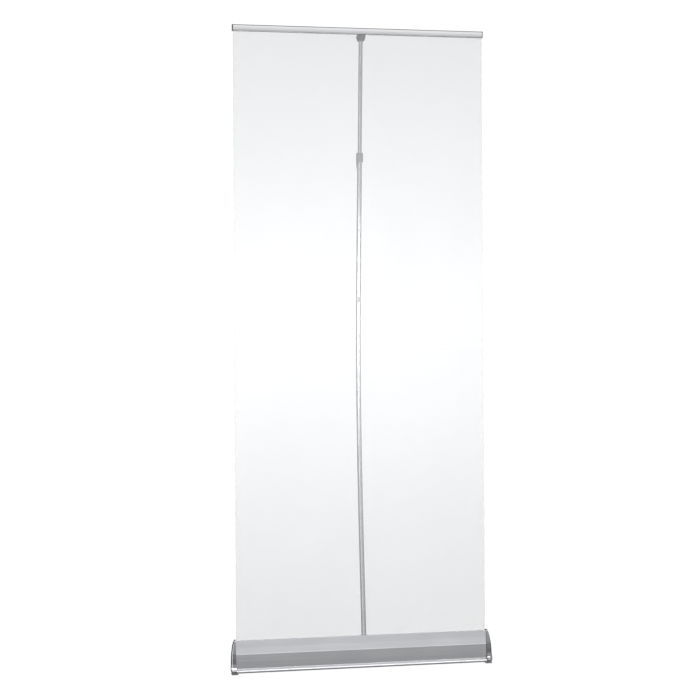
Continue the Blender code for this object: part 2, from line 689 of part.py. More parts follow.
    def pole_tube(self, name, low, high, outer, wall, steps, end=TUBE_END):
        """A tube along the pole's centre line between two heights, with its ends cut square."""
        curve = bpy.data.curves.new(name, "CURVE")
        curve.dimensions = "3D"
        curve.bevel_depth = outer
        curve.bevel_resolution = (TUBE_SIDES - 4) // 2
        heights = [low + (high - low) * i / steps for i in range(steps + 1)]
        heights = [low, low + end, *heights[1:-1], high - end, high]
        line = curve.splines.new("POLY")
        line.points.add(len(heights) - 1)
        for point, height in zip(line.points, heights):
            point.co = (*self.pole_point(height), 1.0)
        made = add(name, curve_mesh(curve, name), self.parts, anodised(name), self.root)
        shell = made.modifiers.new("wall", "SOLIDIFY")
        shell.thickness = wall
        shell.offset = -1.0
        shell.use_even_offset = True
        smooth(made)
        return made

    def pole_lower(self):
        """The foot plug, the lower and middle sections, and the spigot that joins them."""
        body = BORE_RADIUS - FIT
        plug = [(0.0, PLUG_LENGTH), (TUBE_RADIUS * 0.6, PLUG_LENGTH), (body, PLUG_LENGTH - 0.003)]
        plug += [(body, PLUG_SHOULDER), (TUBE_RADIUS, PLUG_SHOULDER), (TUBE_RADIUS, 0.001)]
        plug += [(TUBE_RADIUS - 0.001, 0.0), (0.0, 0.0)]
        turned("pole_foot_plug", plug, self.parts, plastic("pole_foot_plug"), self.foot)
        start = POLE_BOTTOM + PLUG_SHOULDER + FIT
        self.pole_tube("pole_lower_section", start, JOINT_Z - FIT / 2, TUBE_RADIUS, TUBE_WALL, 16)
        self.pole_tube("pole_middle_section", JOINT_Z + FIT / 2, COLLAR_Z, TUBE_RADIUS, TUBE_WALL, 16)
        spigot = BORE_RADIUS - RUNNING
        low, high = JOINT_Z - SPIGOT_HALF, JOINT_Z + SPIGOT_HALF
        self.pole_tube("pole_spigot", low, high, spigot, SPIGOT_WALL, 4, SPIGOT_END)

    def pole_socket(self):
        """The moulded socket that the pole stands in, with a flange on the base's rear slope."""
        sleeve = cylinder_mesh("pole_socket", SOCKET_RADIUS, SOCKET_LENGTH)
        for vert in sleeve.vertices:
            vert.co.z += SOCKET_LENGTH / 2 - SOCKET_FLOOR - FIT
        socket = add("pole_socket", sleeve, self.parts, plastic("pole_socket"), self.foot)
        b, a = (Vector(mm(SHELL)[n]) for n in REAR_SLOPE)
        slope = math.atan2(a.y - b.y, b.x - a.x)
        middle = a.lerp(b, FLANGE_SHARE)
        half = SOCKET_RADIUS + FLANGE_BORDER
        flange = box_mesh("socket_flange", (-half, -FLANGE_DOWN, FIT), (half, FLANGE_UP, FIT + FLANGE_THICK))
        place = (POLE_X, middle.x, middle.y)
        boolean(socket, self.tool("socket_flange", flange, None, place, (-slope, 0, 0)), "UNION")
        bore = cylinder_mesh("socket_bore", TUBE_RADIUS + RUNNING, 2 * SOCKET_LENGTH)
        boolean(socket, self.tool("socket_bore", bore, self.foot, (0, 0, SOCKET_LENGTH - FIT)), "DIFFERENCE")
        return socket

    def pole_collar(self):
        """The clamp collar on the middle section, split at the rear between two ears."""
        edge = COLLAR_RADIUS - COLLAR_EDGE
        body = [(edge, COLLAR_ABOVE), (COLLAR_RADIUS, COLLAR_ABOVE - COLLAR_EDGE)]
        body += [(COLLAR_RADIUS, -COLLAR_BELOW + COLLAR_EDGE), (edge, -COLLAR_BELOW)]
        body += [(TUBE_RADIUS + RUNNING, -COLLAR_BELOW), (TUBE_RADIUS + RUNNING, FIT)]
        body += [(INNER_TUBE_RADIUS + RUNNING, FIT), (INNER_TUBE_RADIUS + RUNNING, COLLAR_ABOVE)]
        collar = turned("pole_collar", body, self.parts, plastic("pole_collar"), self.top)
        ears = self.ear_mesh()
        boolean(collar, self.tool("collar_ears", ears, self.top), "UNION")
        past = LEVER_PIN_BACK + 2 * EAR_RADIUS
        gap = box_mesh("ear_gap", (-EAR_GAP, COLLAR_RADIUS - 0.001, -0.012), (EAR_GAP, past, 0.012))
        boolean(collar, self.tool("ear_gap", gap, self.top), "DIFFERENCE")
        split = box_mesh("collar_split", (-COLLAR_SPLIT, 0.004, -0.030), (COLLAR_SPLIT, past, 0.030))
        boolean(collar, self.tool("collar_split", split, self.top), "DIFFERENCE")
        hole = cylinder_mesh("pin_hole", PIN_RADIUS + FIT, 0.030, SMALL_SIDES)
        place = (0, LEVER_PIN_BACK, 0)
        boolean(collar, self.tool("pin_hole", hole, self.top, place, (0, math.pi / 2, 0)), "DIFFERENCE")
        half = EAR_OUTER + PIN_PAST_EAR
        pin = [(0.0, half), (PIN_RADIUS, half), (PIN_RADIUS, -half), (0.0, -half)]
        turn = (0, math.pi / 2, 0)
        turned("lever_pin", pin, self.parts, steel("lever_pin"), self.top, place, turn, SMALL_SIDES)

    def ear_mesh(self):
        """The block that becomes the two ears: round about the pin, and square into the collar."""
        outline = [(COLLAR_RADIUS - COLLAR_EDGE - 0.001, EAR_RADIUS)]
        for i in range(9):
            angle = math.radians(90 - 22.5 * i)
            depth = LEVER_PIN_BACK + EAR_RADIUS * math.cos(angle)
            outline.append((depth, EAR_RADIUS * math.sin(angle)))
        outline.append((COLLAR_RADIUS - COLLAR_EDGE - 0.001, -EAR_RADIUS))
        return profile_mesh("collar_ears", outline, -EAR_OUTER, EAR_OUTER)

    def clamp_lever(self):
        """The cam lever that closes the collar; at rest it lies down along the pole."""
        outline = []
        for i in range(13):
            angle = math.radians(-60 + 20 * i)
            outline.append((LEVER_EYE * math.cos(angle), LEVER_EYE * math.sin(angle)))
        outline += [(-0.0030, -0.0085), (-0.0024, 0.002 - LEVER_LENGTH), (0.0004, 0.001 - LEVER_LENGTH)]
        outline += [(0.0026, -0.0080)]
        eye = profile_mesh("clamp_lever", outline[::-1], -EAR_GAP + FIT, EAR_GAP - FIT)
        place = (0, LEVER_PIN_BACK, 0)
        lever = add("clamp_lever", eye, self.parts, plastic("clamp_lever"), self.top, place)
        grip_outline = [(-0.0034, -0.0090), (0.0030, -0.0090), (0.0012, -LEVER_LENGTH)]
        grip_outline += [(-0.0030, -LEVER_LENGTH)]
        grip = profile_mesh("lever_grip", grip_outline, -EAR_OUTER, EAR_OUTER)
        boolean(lever, self.tool("lever_grip", grip, self.top, place), "UNION")
        hole = cylinder_mesh("lever_hole", PIN_RADIUS + RUNNING, 0.030, SMALL_SIDES)
        boolean(lever, self.tool("lever_hole", hole, self.top, place, (0, math.pi / 2, 0)), "DIFFERENCE")
        return lever

    def pole_upper(self):
        """The telescopic section with its guide bush and the head that holds the rail."""
        low = -TELESCOPE_HIDDEN
        high = (TOP_Z - COLLAR_Z) / math.cos(TOP_TILT)
        inner = INNER_TUBE_RADIUS - TUBE_WALL
        tube = ring_profile(INNER_TUBE_RADIUS, inner, low, high)
        turned("pole_upper_section", tube, self.parts, anodised("pole_upper_section"), self.top)
        bush = [(inner - FIT, 0.012), (inner - FIT, 0.0), (INNER_TUBE_RADIUS, 0.0)]
        bush += [(INNER_TUBE_RADIUS, -0.003), (INNER_TUBE_RADIUS * 0.6, -0.003)]
        bush += [(INNER_TUBE_RADIUS * 0.6, 0.012)]
        place = (0, 0, low - FIT)
        turned("pole_guide_bush", bush, self.parts, plastic("pole_guide_bush"), self.top, place)

    def pole_head(self):
        """The moulded head: a socket for the tube and a tongue that stands behind the rail."""
        front = RAIL_BACK_DEPTH + HEAD_GAP
        rear = POLE_TOP_REACH + INNER_TUBE_RADIUS + HEAD_WALL
        foot = INNER_TUBE_RADIUS + HEAD_WALL
        wide = foot + 0.0039
        half = [(foot, HEAD_LOW), (foot + 0.0014, HEAD_LOW + 0.005), (wide, HEAD_LOW + 0.012)]
        half += [(wide, HEAD_TOP - 0.0018), (wide - 0.0015, HEAD_TOP)]
        mesh = profile_mesh("pole_head", half + [(-x, z) for x, z in reversed(half)], -0.5, 0.5)
        for vert in mesh.vertices:
            x, y, z = vert.co
            vert.co = (-y, front + (rear - front) * (x + 0.5), z)
        place = (POLE_X, 0, BANNER_DROP)
        head = add("pole_head", mesh, self.parts, plastic("pole_head"), self.banner, place)
        low = (-0.030, front + TONGUE_THICK, HEAD_STEP)
        step = box_mesh("head_step", low, (0.030, 0.060, 0.030))
        boolean(head, self.tool("head_step", step, self.banner, place), "DIFFERENCE")
        length = (TOP_Z - COLLAR_Z) / math.cos(TOP_TILT)
        bore = cylinder_mesh("head_bore", INNER_TUBE_RADIUS + FIT, 0.060)
        place = (0, 0, length + FIT - 0.030)
        boolean(head, self.tool("head_bore", bore, self.top, place), "DIFFERENCE")
        return head

    def build(self):
        """Every sub-part, from the floor up."""
        self.base_extrusion()
        for side, word in ((-1, "left"), (1, "right")):
            self.end_plate(side, f"end_plate_{word}")
            self.end_cap(side, f"end_cap_{word}")
            self.foot_pad(side, f"foot_front_{word}", FRONT_FOOT_AT, FRONT_FOOT_OUTSIDE)
            self.foot_pad(side, f"foot_rear_{word}", REAR_FOOT_AT, REAR_FOOT_OUTSIDE)
            for n, spot in enumerate(PORTS):
                self.plate_screw(side, f"plate_screw_{word}_{n + 1}", spot)
            self.rail_plug(side, f"rail_plug_{word}")
        self.spring(self.roller())
        self.banner_sheet()
        self.rail_back()
        self.rail_jaw()
        self.pole_socket()
        self.pole_lower()
        self.pole_collar()
        self.clamp_lever()
        self.pole_upper()
        self.pole_head()
        self.centre()

    def centre(self):
        """Moves the stand so that its box stands on the origin."""
        bpy.context.view_layer.update()
        graph = bpy.context.evaluated_depsgraph_get()
        corners = []
        for obj in self.parts.objects:
            seen = obj.evaluated_get(graph)
            corners += [seen.matrix_world @ Vector(c) for c in seen.bound_box]
        for axis, share in ((0, 0.5), (1, 0.5), (2, 0.0)):
            low = min(c[axis] for c in corners)
            high = max(c[axis] for c in corners)
            self.root.location[axis] = -(low + (high - low) * share)
        bpy.context.view_layer.update()


clear_scene()
Stand().build()
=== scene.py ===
"""Looks of the roll-up banner stand: fine meshes, finishes, light and camera around its fixed frame.

Metres, +Z up, and the front faces -Y. Outlines are in millimetres: (depth, height, corner radius).
"""

import json
import logging
import math
from collections.abc import Iterable, Sequence
from dataclasses import dataclass, field
from enum import Enum

import bmesh
import bpy
import numpy as np
from mathutils import Matrix, Vector, noise


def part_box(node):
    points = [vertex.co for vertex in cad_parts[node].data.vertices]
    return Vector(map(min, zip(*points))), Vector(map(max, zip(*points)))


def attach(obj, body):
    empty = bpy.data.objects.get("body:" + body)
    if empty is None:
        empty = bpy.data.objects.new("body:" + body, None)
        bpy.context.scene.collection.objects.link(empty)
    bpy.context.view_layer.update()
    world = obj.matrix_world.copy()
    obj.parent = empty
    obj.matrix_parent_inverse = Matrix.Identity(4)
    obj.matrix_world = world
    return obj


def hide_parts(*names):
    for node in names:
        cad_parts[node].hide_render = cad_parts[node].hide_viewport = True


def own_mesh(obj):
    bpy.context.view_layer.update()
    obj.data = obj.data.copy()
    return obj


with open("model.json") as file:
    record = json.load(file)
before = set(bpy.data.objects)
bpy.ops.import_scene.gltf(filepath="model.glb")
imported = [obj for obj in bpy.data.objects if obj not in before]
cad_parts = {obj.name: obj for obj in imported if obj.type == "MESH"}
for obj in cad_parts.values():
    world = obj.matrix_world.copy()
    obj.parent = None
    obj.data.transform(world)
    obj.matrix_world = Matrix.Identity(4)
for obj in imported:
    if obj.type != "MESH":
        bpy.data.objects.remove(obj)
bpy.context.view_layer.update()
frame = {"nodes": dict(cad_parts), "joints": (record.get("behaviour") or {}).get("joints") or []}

LOG = logging.getLogger("banner_stand")
MM = 0.001
CLEAR = 0.3 * MM

Outline = Sequence[tuple[float, float, float]]
Line = list[tuple[float, float]]


class Side(Enum):
    """The two ends of the stand."""

    LEFT = -1
    RIGHT = 1


class Body(Enum):
    """The bodies that pieces ride on."""

    BASE = "base"
    ROLLER = "roller"
    RAIL = "rail"
    JAW = "jaw"
    POLE_TOP = "pole_top"
    LEVER = "lever"


# Small tools


def linear(code: str) -> tuple[float, float, float, float]:
    """Turns an sRGB hex code to linear light.

    Args:
        code: Six hex digits.

    Returns:
        Red, green, blue and a full alpha.
    """
    shares = [int(code[i : i + 2], 16) / 255 for i in (0, 2, 4)]
    lit = [c / 12.92 if c <= 0.04045 else ((c + 0.055) / 1.055) ** 2.4 for c in shares]
    return (lit[0], lit[1], lit[2], 1.0)


def add_node(
    tree: bpy.types.NodeTree,
    kind: str,
    values: dict | None = None,
    links: dict | None = None,
    **settings: object,
) -> bpy.types.Node:
    """Adds a node with its settings, socket values and links.

    Args:
        tree: The tree that gets the node.
        kind: Blender's name for the node type.
        values: Socket name or index to its constant value.
        links: Socket name or index to the output that feeds it.
        **settings: Properties of the node itself.

    Returns:
        The new node.
    """
    made = tree.nodes.new(kind)
    for name, value in settings.items():
        setattr(made, name, value)
    for socket, value in (values or {}).items():
        made.inputs[socket].default_value = value
    for socket, source in (links or {}).items():
        tree.links.new(source, made.inputs[socket])
    return made


def rounded(outline: Outline, closed: bool, steps: int = 5) -> Line:
    """Draws an outline with an arc at each corner.

    Args:
        outline: Corners in millimetres, each with its radius.
        closed: Whether the last corner joins the first.
        steps: How many parts each arc has.

    Returns:
        The points in metres; every corner gives steps + 1 of them, and an open end gives one.
    """
    count = len(outline)
    found = []
    for i, (depth, height, radius) in enumerate(outline):
        here = Vector((depth, height))
        if not closed and i in (0, count - 1):
            found.append((depth * MM, height * MM))
            continue
        back = Vector(outline[i - 1][:2]) - here
        ahead = Vector(outline[(i + 1) % count][:2]) - here
        bend = (math.pi - back.angle(ahead)) / 2
        room = 0.49 * min(back.length, ahead.length)
        cut = min(radius * math.tan(bend), room)
        start, end = here + back.normalized() * cut, here + ahead.normalized() * cut
        for step in range(steps + 1):
            t = step / steps
            near = start.lerp(here, t)
            point = near.lerp(here.lerp(end, t), t)
            found.append((point.x * MM, point.y * MM))
    return found


def shifted(outline: Outline, distance: float) -> list[tuple[float, float, float]]:
    """Moves an open outline sideways with mitred corners.

    Args:
        outline: Corners in millimetres.
        distance: How far, to the right of the outline's direction.

    Returns:
        The moved corners, with radii that keep the wall even.
    """
    moved = []
    last = len(outline) - 1
    for i, (depth, height, radius) in enumerate(outline):
        sides = []
        for a, b in ((i - 1, i), (i, i + 1)):
            if a >= 0 and b <= last:
                step = Vector(outline[b][:2]) - Vector(outline[a][:2])
                sides.append(Vector((step.y, -step.x)).normalized())
        normal = sum(sides, Vector((0.0, 0.0))).normalized()
        reach = distance / normal.dot(sides[0])
        moved.append((depth + normal.x * reach, height + normal.y * reach, max(radius + distance, 0.2)))
    return moved


def finished(bm: bmesh.types.BMesh, name: str, sharp: float = 35.0) -> bpy.types.Object:
    """Turns a bmesh into a smooth-shaded object that keeps its hard edges.

    Args:
        bm: The shape, which is freed.
        name: The piece's name.
        sharp: Edges that bend by more than this many degrees stay hard.

    Returns:
        The linked object.
    """
    bmesh.ops.remove_doubles(bm, verts=bm.verts, dist=1e-7)
    bmesh.ops.recalc_face_normals(bm, faces=bm.faces)
    mesh = bpy.data.meshes.new(name)
    bm.to_mesh(mesh)
    bm.free()
    return shown(name, mesh, sharp)


def shown(name: str, mesh: bpy.types.Mesh, sharp: float) -> bpy.types.Object:
    """Links a mesh as an object, smooth except at its hard edges.

    Args:
        name: The piece's name.
        mesh: Its mesh.
        sharp: Edges that bend by more than this many degrees stay hard.

    Returns:
        The linked object.
    """
    mesh.name = name
    mesh.shade_smooth()
    mesh.set_sharp_from_angle(angle=math.radians(sharp))
    made = bpy.data.objects.new(name, mesh)
    bpy.context.scene.collection.objects.link(made)
    return made


def settled(obj: bpy.types.Object, sharp: float = 35.0) -> bpy.types.Object:
    """Applies an object's modifiers and place to its mesh.

    Args:
        obj: The piece, which may be a curve.
        sharp: Edges that bend by more than this many degrees stay hard.

    Returns:
        A mesh object of the same name, at the origin.
    """
    bpy.context.view_layer.update()
    name = obj.name
    graph = bpy.context.evaluated_depsgraph_get()
    mesh = bpy.data.meshes.new_from_object(obj.evaluated_get(graph), depsgraph=graph)
    mesh.transform(obj.matrix_world)
    bpy.data.objects.remove(obj)
    return shown(name, mesh, sharp)


def flattened(obj: bpy.types.Object) -> bpy.types.Object:
    """Keeps the shading of broad faces flat right up to their rounded edges.

    Args:
        obj: The piece, smooth except at its hard edges.

    Returns:
        The same piece, whose shading follows its larger faces.
    """
    weigh = obj.modifiers.new("broad faces first", "WEIGHTED_NORMAL")
    weigh.weight = 100
    weigh.keep_sharp = True
    graph = bpy.context.evaluated_depsgraph_get()
    old = obj.data
    obj.data = bpy.data.meshes.new_from_object(obj.evaluated_get(graph), depsgraph=graph)
    obj.modifiers.clear()
    bpy.data.meshes.remove(old)
    return obj


def softened(obj: bpy.types.Object, width: float, segments: int = 2, angle: float = 30.0) -> bpy.types.Object:
    """Rounds an object's hard edges and settles it.

    Args:
        obj: The piece.
        width: Width of the rounding in metres.
        segments: Faces across each rounded edge.
        angle: Only edges that bend by more than this many degrees are rounded.

    Returns:
        The settled piece.
    """
    bevel = obj.modifiers.new("rounded edges", "BEVEL")
    bevel.width = width
    bevel.segments = segments
    bevel.limit_method = "ANGLE"
    bevel.angle_limit = math.radians(angle)
    bevel.use_clamp_overlap = True
    return settled(obj)


def cut(target: bpy.types.Object, tool: bpy.types.Object) -> bpy.types.Object:
    """Cuts a tool out of a piece and removes the tool."""
    step = target.modifiers.new("cut", "BOOLEAN")
    step.operation = "DIFFERENCE"
    step.solver = "EXACT"
    step.object = tool
    made = settled(target)
    bpy.data.objects.remove(tool)
    return made


def copied(node: str, name: str, flat: float = 1.0) -> bpy.types.Object:
    """Copies a CAD node's mesh as one clean skin.

    Args:
        node: The CAD node.
        name: The new piece's name.
        flat: Faces within this many degrees of each other become one.

    Returns:
        The copy, which may be changed.
    """
    bm = bmesh.new()
    bm.from_mesh(frame["nodes"][node].data)
    bmesh.ops.remove_doubles(bm, verts=bm.verts, dist=2e-6)
    bmesh.ops.dissolve_limit(bm, angle_limit=math.radians(flat), verts=bm.verts, edges=bm.edges)
    mesh = bpy.data.meshes.new(name)
    bm.to_mesh(mesh)
    bm.free()
    made = bpy.data.objects.new(name, mesh)
    bpy.context.scene.collection.objects.link(made)
    return made


def band(bm: bmesh.types.BMesh, left: list[bmesh.types.BMVert], right: list[bmesh.types.BMVert]) -> None:
    """Joins two closed rings of the same length with faces."""
    for i in range(len(left)):
        j = (i + 1) % len(left)
        bm.faces.new((left[i], left[j], right[j], right[i]))


def drawn_out(name: str, outer: Line, inner: Line | None, x_from: float, x_to: float) -> bpy.types.Object:
    """Draws an outline out along X.

    Args:
        name: The piece's name.
        outer: The closed outline or, with an inner line, the open outer wall.
        inner: The open inner wall, point for point.
        x_from: Left end.
        x_to: Right end.

    Returns:
        The extruded piece, closed at both ends.
    """
    bm = bmesh.new()
    ends = []
    for x in (x_from, x_to):
        near = [bm.verts.new((x, y, z)) for y, z in outer]
        far = [bm.verts.new((x, y, z)) for y, z in inner] if inner else []
        ends.append((near, far))
    band(bm, *(near + far[::-1] for near, far in ends))
    for near, far in ends:
        if not inner:
            bm.faces.new(near)
        for i in range(len(far) - 1):
            bm.faces.new((near[i], near[i + 1], far[i + 1], far[i]))
    return finished(bm, name)


def turned(name: str, profile: Line, place: Matrix, sides: int = 64) -> bpy.types.Object:
    """Turns a profile about Z.

    Args:
        name: The piece's name.
        profile: (radius, height) points of a closed section, or of a line that ends on the axis.
        place: Where the turned piece stands.
        sides: How many faces go round.

    Returns:
        The turned piece, in place.
    """
    bm = bmesh.new()
    verts = [bm.verts.new((radius, 0.0, height)) for radius, height in profile]
    edges = [bm.edges.new(pair) for pair in zip(verts, verts[1:])]
    if profile[0][0] > 0 and profile[-1][0] > 0:
        edges.append(bm.edges.new((verts[-1], verts[0])))
    bmesh.ops.spin(
        bm,
        geom=verts + edges,
        cent=(0, 0, 0),
        axis=(0, 0, 1),
        angle=2 * math.pi,
        steps=sides,
        use_duplicate=False,
        use_merge=True,
    )
    bm.transform(place)
    return finished(bm, name)


def begun(name: str, **inputs: str) -> tuple[bpy.types.NodeTree, bpy.types.NodeOutputs]:
    """Starts a geometry node tree.

    Args:
        name: The tree's name.
        **inputs: Name and socket type of each input besides the geometry and the finish.

    Returns:
        The tree and the outputs of its input node.
    """
    made = bpy.data.node_groups.new(name, "GeometryNodeTree")
    face = made.interface
    face.new_socket("Geometry", in_out="OUTPUT", socket_type="NodeSocketGeometry")
    face.new_socket("Geometry", in_out="INPUT", socket_type="NodeSocketGeometry")
    for label, kind in inputs.items():
        face.new_socket(label, in_out="INPUT", socket_type=kind)
    face.new_socket("Finish", in_out="INPUT", socket_type="NodeSocketMaterial")
    return made, add_node(made, "NodeGroupInput").outputs


def ended(
    tree: bpy.types.NodeTree, given: bpy.types.NodeOutputs, shape: bpy.types.NodeSocket
) -> bpy.types.NodeTree:
    """Ends a geometry node tree: its shape becomes real faces in the given finish."""
    real = add_node(tree, "GeometryNodeRealizeInstances", links={"Geometry": shape})
    links = {"Geometry": real.outputs["Geometry"], "Material": given["Finish"]}
    painted = add_node(tree, "GeometryNodeSetMaterial", links=links)
    add_node(tree, "NodeGroupOutput", links={"Geometry": painted.outputs["Geometry"]})
    return tree


def given_to(obj: bpy.types.Object, tree: bpy.types.NodeTree, **values: object) -> None:
    """Gives an object a node tree and the values of its named inputs."""
    step = obj.modifiers.new("shape by nodes", "NODES")
    step.node_group = tree
    sockets = {s.name: s.identifier for s in tree.interface.items_tree if s.in_out == "INPUT"}
    for name, value in values.items():
        step[sockets[name]] = value


# Finishes

# The stretch of a pattern's values that most of it lies in
PATTERN_MIDDLE = (0.3, 0.7)


@dataclass(frozen=True)
class Surface:
    """A material in the making, with the shader and the coordinates that its patterns use."""

    material: bpy.types.Material
    shader: bpy.types.Node
    place: bpy.types.NodeSocket

    @property
    def tree(self) -> bpy.types.NodeTree:
        """The material's node tree."""
        return self.material.node_tree

    def grain(self, size: tuple[float, float, float], detail: float = 2.0) -> bpy.types.NodeSocket:
        """Makes a noise whose spots have a real size.

        Args:
            size: Size of a spot along each axis in millimetres.
            detail: How much finer noise is laid over it.

        Returns:
            The noise's value.
        """
        scale = tuple(1000.0 / s for s in size)
        spots = add_node(self.tree, "ShaderNodeMapping", {"Scale": scale}, {"Vector": self.place})
        made = add_node(
            self.tree,
            "ShaderNodeTexNoise",
            {"Scale": 1.0, "Detail": detail, "Roughness": 0.55},
            {"Vector": spots.outputs["Vector"]},
        )
        return made.outputs["Fac"]

    def worn(self, value: bpy.types.NodeSocket, low: float, high: float) -> None:
        """Lets a pattern change the roughness between two values."""
        start, end = PATTERN_MIDDLE
        limits = {"From Min": start, "From Max": end, "To Min": low, "To Max": high}
        made = add_node(self.tree, "ShaderNodeMapRange", limits, {"Value": value})
        self.tree.links.new(made.outputs["Result"], self.shader.inputs["Roughness"])

    def tinted(self, value: bpy.types.NodeSocket, low: str, high: str) -> None:
        """Lets a pattern run the colour between two sRGB codes."""
        made = add_node(self.tree, "ShaderNodeValToRGB", links={"Fac": value})
        for stop, spot, code in zip(made.color_ramp.elements, PATTERN_MIDDLE, (low, high)):
            stop.position = spot
            stop.color = linear(code)
        self.tree.links.new(made.outputs["Color"], self.shader.inputs["Base Color"])

    def bumped(self, value: bpy.types.NodeSocket, deep: float) -> None:
        """Gives the surface relief of a real depth in millimetres."""
        limits = {"Strength": 1.0, "Distance": deep * MM}
        relief = add_node(self.tree, "ShaderNodeBump", limits, {"Height": value})
        self.tree.links.new(relief.outputs["Normal"], self.shader.inputs["Normal"])


@dataclass(frozen=True)
class Finish:
    """A real material and how its surface was made."""

    name: str
    colour: str
    roughness: float
    metallic: float = 0.0

    def start(self) -> Surface:
        """Makes the material with its constant values."""
        made = bpy.data.materials.new(self.name)
        made.use_nodes = True
        tree = made.node_tree
        tree.nodes.clear()
        shader = add_node(
            tree,
            "ShaderNodeBsdfPrincipled",
            {"Base Color": linear(self.colour), "Roughness": self.roughness, "Metallic": self.metallic},
        )
        add_node(tree, "ShaderNodeOutputMaterial", links={"Surface": shader.outputs["BSDF"]})
        return Surface(made, shader, add_node(tree, "ShaderNodeTexCoord").outputs["Object"])

    def build(self) -> bpy.types.Material:
        """Makes the finished material."""
        raise NotImplementedError


@dataclass(frozen=True)
class ExtrudedAluminium(Finish):
    """Aluminium pushed through a die and anodised: satin, with faint lines along its length."""

    line: float = 1.6
    high: str = "d9dadd"

    def build(self) -> bpy.types.Material:
        """Adds the die lines, the soft patches that handling leaves, and their relief."""
        on = self.start()
        lines = on.grain((900.0, self.line, self.line), 3.0)
        patches = on.grain((160.0, 45.0, 45.0))
        on.tinted(patches, self.colour, self.high)
        on.worn(lines, self.roughness - 0.04, self.roughness + 0.05)
        on.bumped(lines, 0.012)
        return on.material


@dataclass(frozen=True)
class DrawnTube(Finish):
    """Aluminium tube drawn to size and anodised: bright, with fine lines along the tube."""

    high: str = "f2f3f4"

    def build(self) -> bpy.types.Material:
        """Adds the draw lines and a slow change of tone along the tube."""
        on = self.start()
        lines = on.grain((1.2, 1.2, 700.0), 2.0)
        tone = on.grain((60.0, 60.0, 240.0))
        on.tinted(tone, self.colour, self.high)
        on.worn(lines, self.roughness - 0.03, self.roughness + 0.05)
        on.bumped(lines, 0.006)
        return on.material


@dataclass(frozen=True)
class ChromePlate(Finish):
    """Bright chrome over a moulded cap: mirror clear, with slight ripples and a few fingerprints."""

    smear: float = 0.10

    def build(self) -> bpy.types.Material:
        """Adds the fingerprints' haze and the plating's ripple."""
        on = self.start()
        prints = on.grain((14.0, 9.0, 9.0), 4.0)
        ripple = on.grain((26.0, 22.0, 22.0), 1.0)
        on.worn(prints, self.roughness, self.smear)
        on.bumped(ripple, 0.05)
        return on.material


@dataclass(frozen=True)
class MouldedPlastic(Finish):
    """Injection-moulded plastic: an even colour with the fine sparkle of an etched mould."""

    high: str = "aaabae"
    grit: float = 0.9

    def build(self) -> bpy.types.Material:
        """Adds the mould's grain, drawn a little coarser than real so that it shows, and slow flow marks."""
        on = self.start()
        grit = on.grain((self.grit, self.grit, self.grit), 2.0)
        flow = on.grain((24.0, 24.0, 9.0))
        on.tinted(flow, self.colour, self.high)
        on.worn(grit, self.roughness - 0.05, self.roughness + 0.08)
        on.bumped(grit, 0.02)
        return on.material


@dataclass(frozen=True)
class ZincPlate(Finish):
    """Steel with a thin zinc plating: dull silver with soft crystal patches."""

    high: str = "c9cbcd"
    crystal: float = 1000 / 180

    def build(self) -> bpy.types.Material:
        """Adds the crystal patches as colour and roughness."""
        on = self.start()
        per_metre = 1 / (self.crystal * MM)
        spots = add_node(on.tree, "ShaderNodeMapping", {"Scale": (per_metre,) * 3}, {"Vector": on.place})
        links = {"Vector": spots.outputs["Vector"]}
        crystals = add_node(on.tree, "ShaderNodeTexVoronoi", {"Scale": 1.0}, links)
        shade = crystals.outputs["Distance"]
        on.tinted(shade, self.colour, self.high)
        on.worn(shade, self.roughness - 0.05, self.roughness + 0.10)
        on.bumped(shade, 0.01)
        return on.material


@dataclass(frozen=True)
class MouldedRubber(Finish):
    """Soft moulded rubber: pale grey, dull, and dusty where it has been handled."""

    high: str = "bcbdc0"

    def build(self) -> bpy.types.Material:
        """Adds the dust and a pebbled skin."""
        on = self.start()
        dust = on.grain((7.0, 7.0, 3.0), 3.0)
        pebbles = on.grain((1.1, 1.1, 1.1), 1.0)
        on.tinted(dust, self.colour, self.high)
        on.bumped(pebbles, 0.05)
        return on.material


@dataclass(frozen=True)
class FrostedFilm(Finish):
    """Cast polypropylene film: milky white, clear enough for the pole to show, with a denser cut edge."""

    high: str = "f6f8fb"
    clear: float = 0.26
    edge: float = 0.40

    def build(self) -> bpy.types.Material:
        """Adds the cast's faint cloudiness, its frosted grain and the denser edge."""
        on = self.start()
        cloud = on.grain((210.0, 210.0, 320.0), 1.0)
        frost = on.grain((1.5, 1.5, 1.5), 2.0)
        on.tinted(cloud, self.colour, self.high)
        on.worn(frost, self.roughness - 0.05, self.roughness + 0.05)
        hem = add_node(on.tree, "ShaderNodeAttribute", attribute_name="cut_edge")
        limits = {"To Min": self.clear, "To Max": self.edge}
        dense = add_node(on.tree, "ShaderNodeMapRange", limits, {"Value": hem.outputs["Fac"]})
        on.tree.links.new(dense.outputs["Result"], on.shader.inputs["Alpha"])
        on.bumped(frost, 0.004)
        return on.material


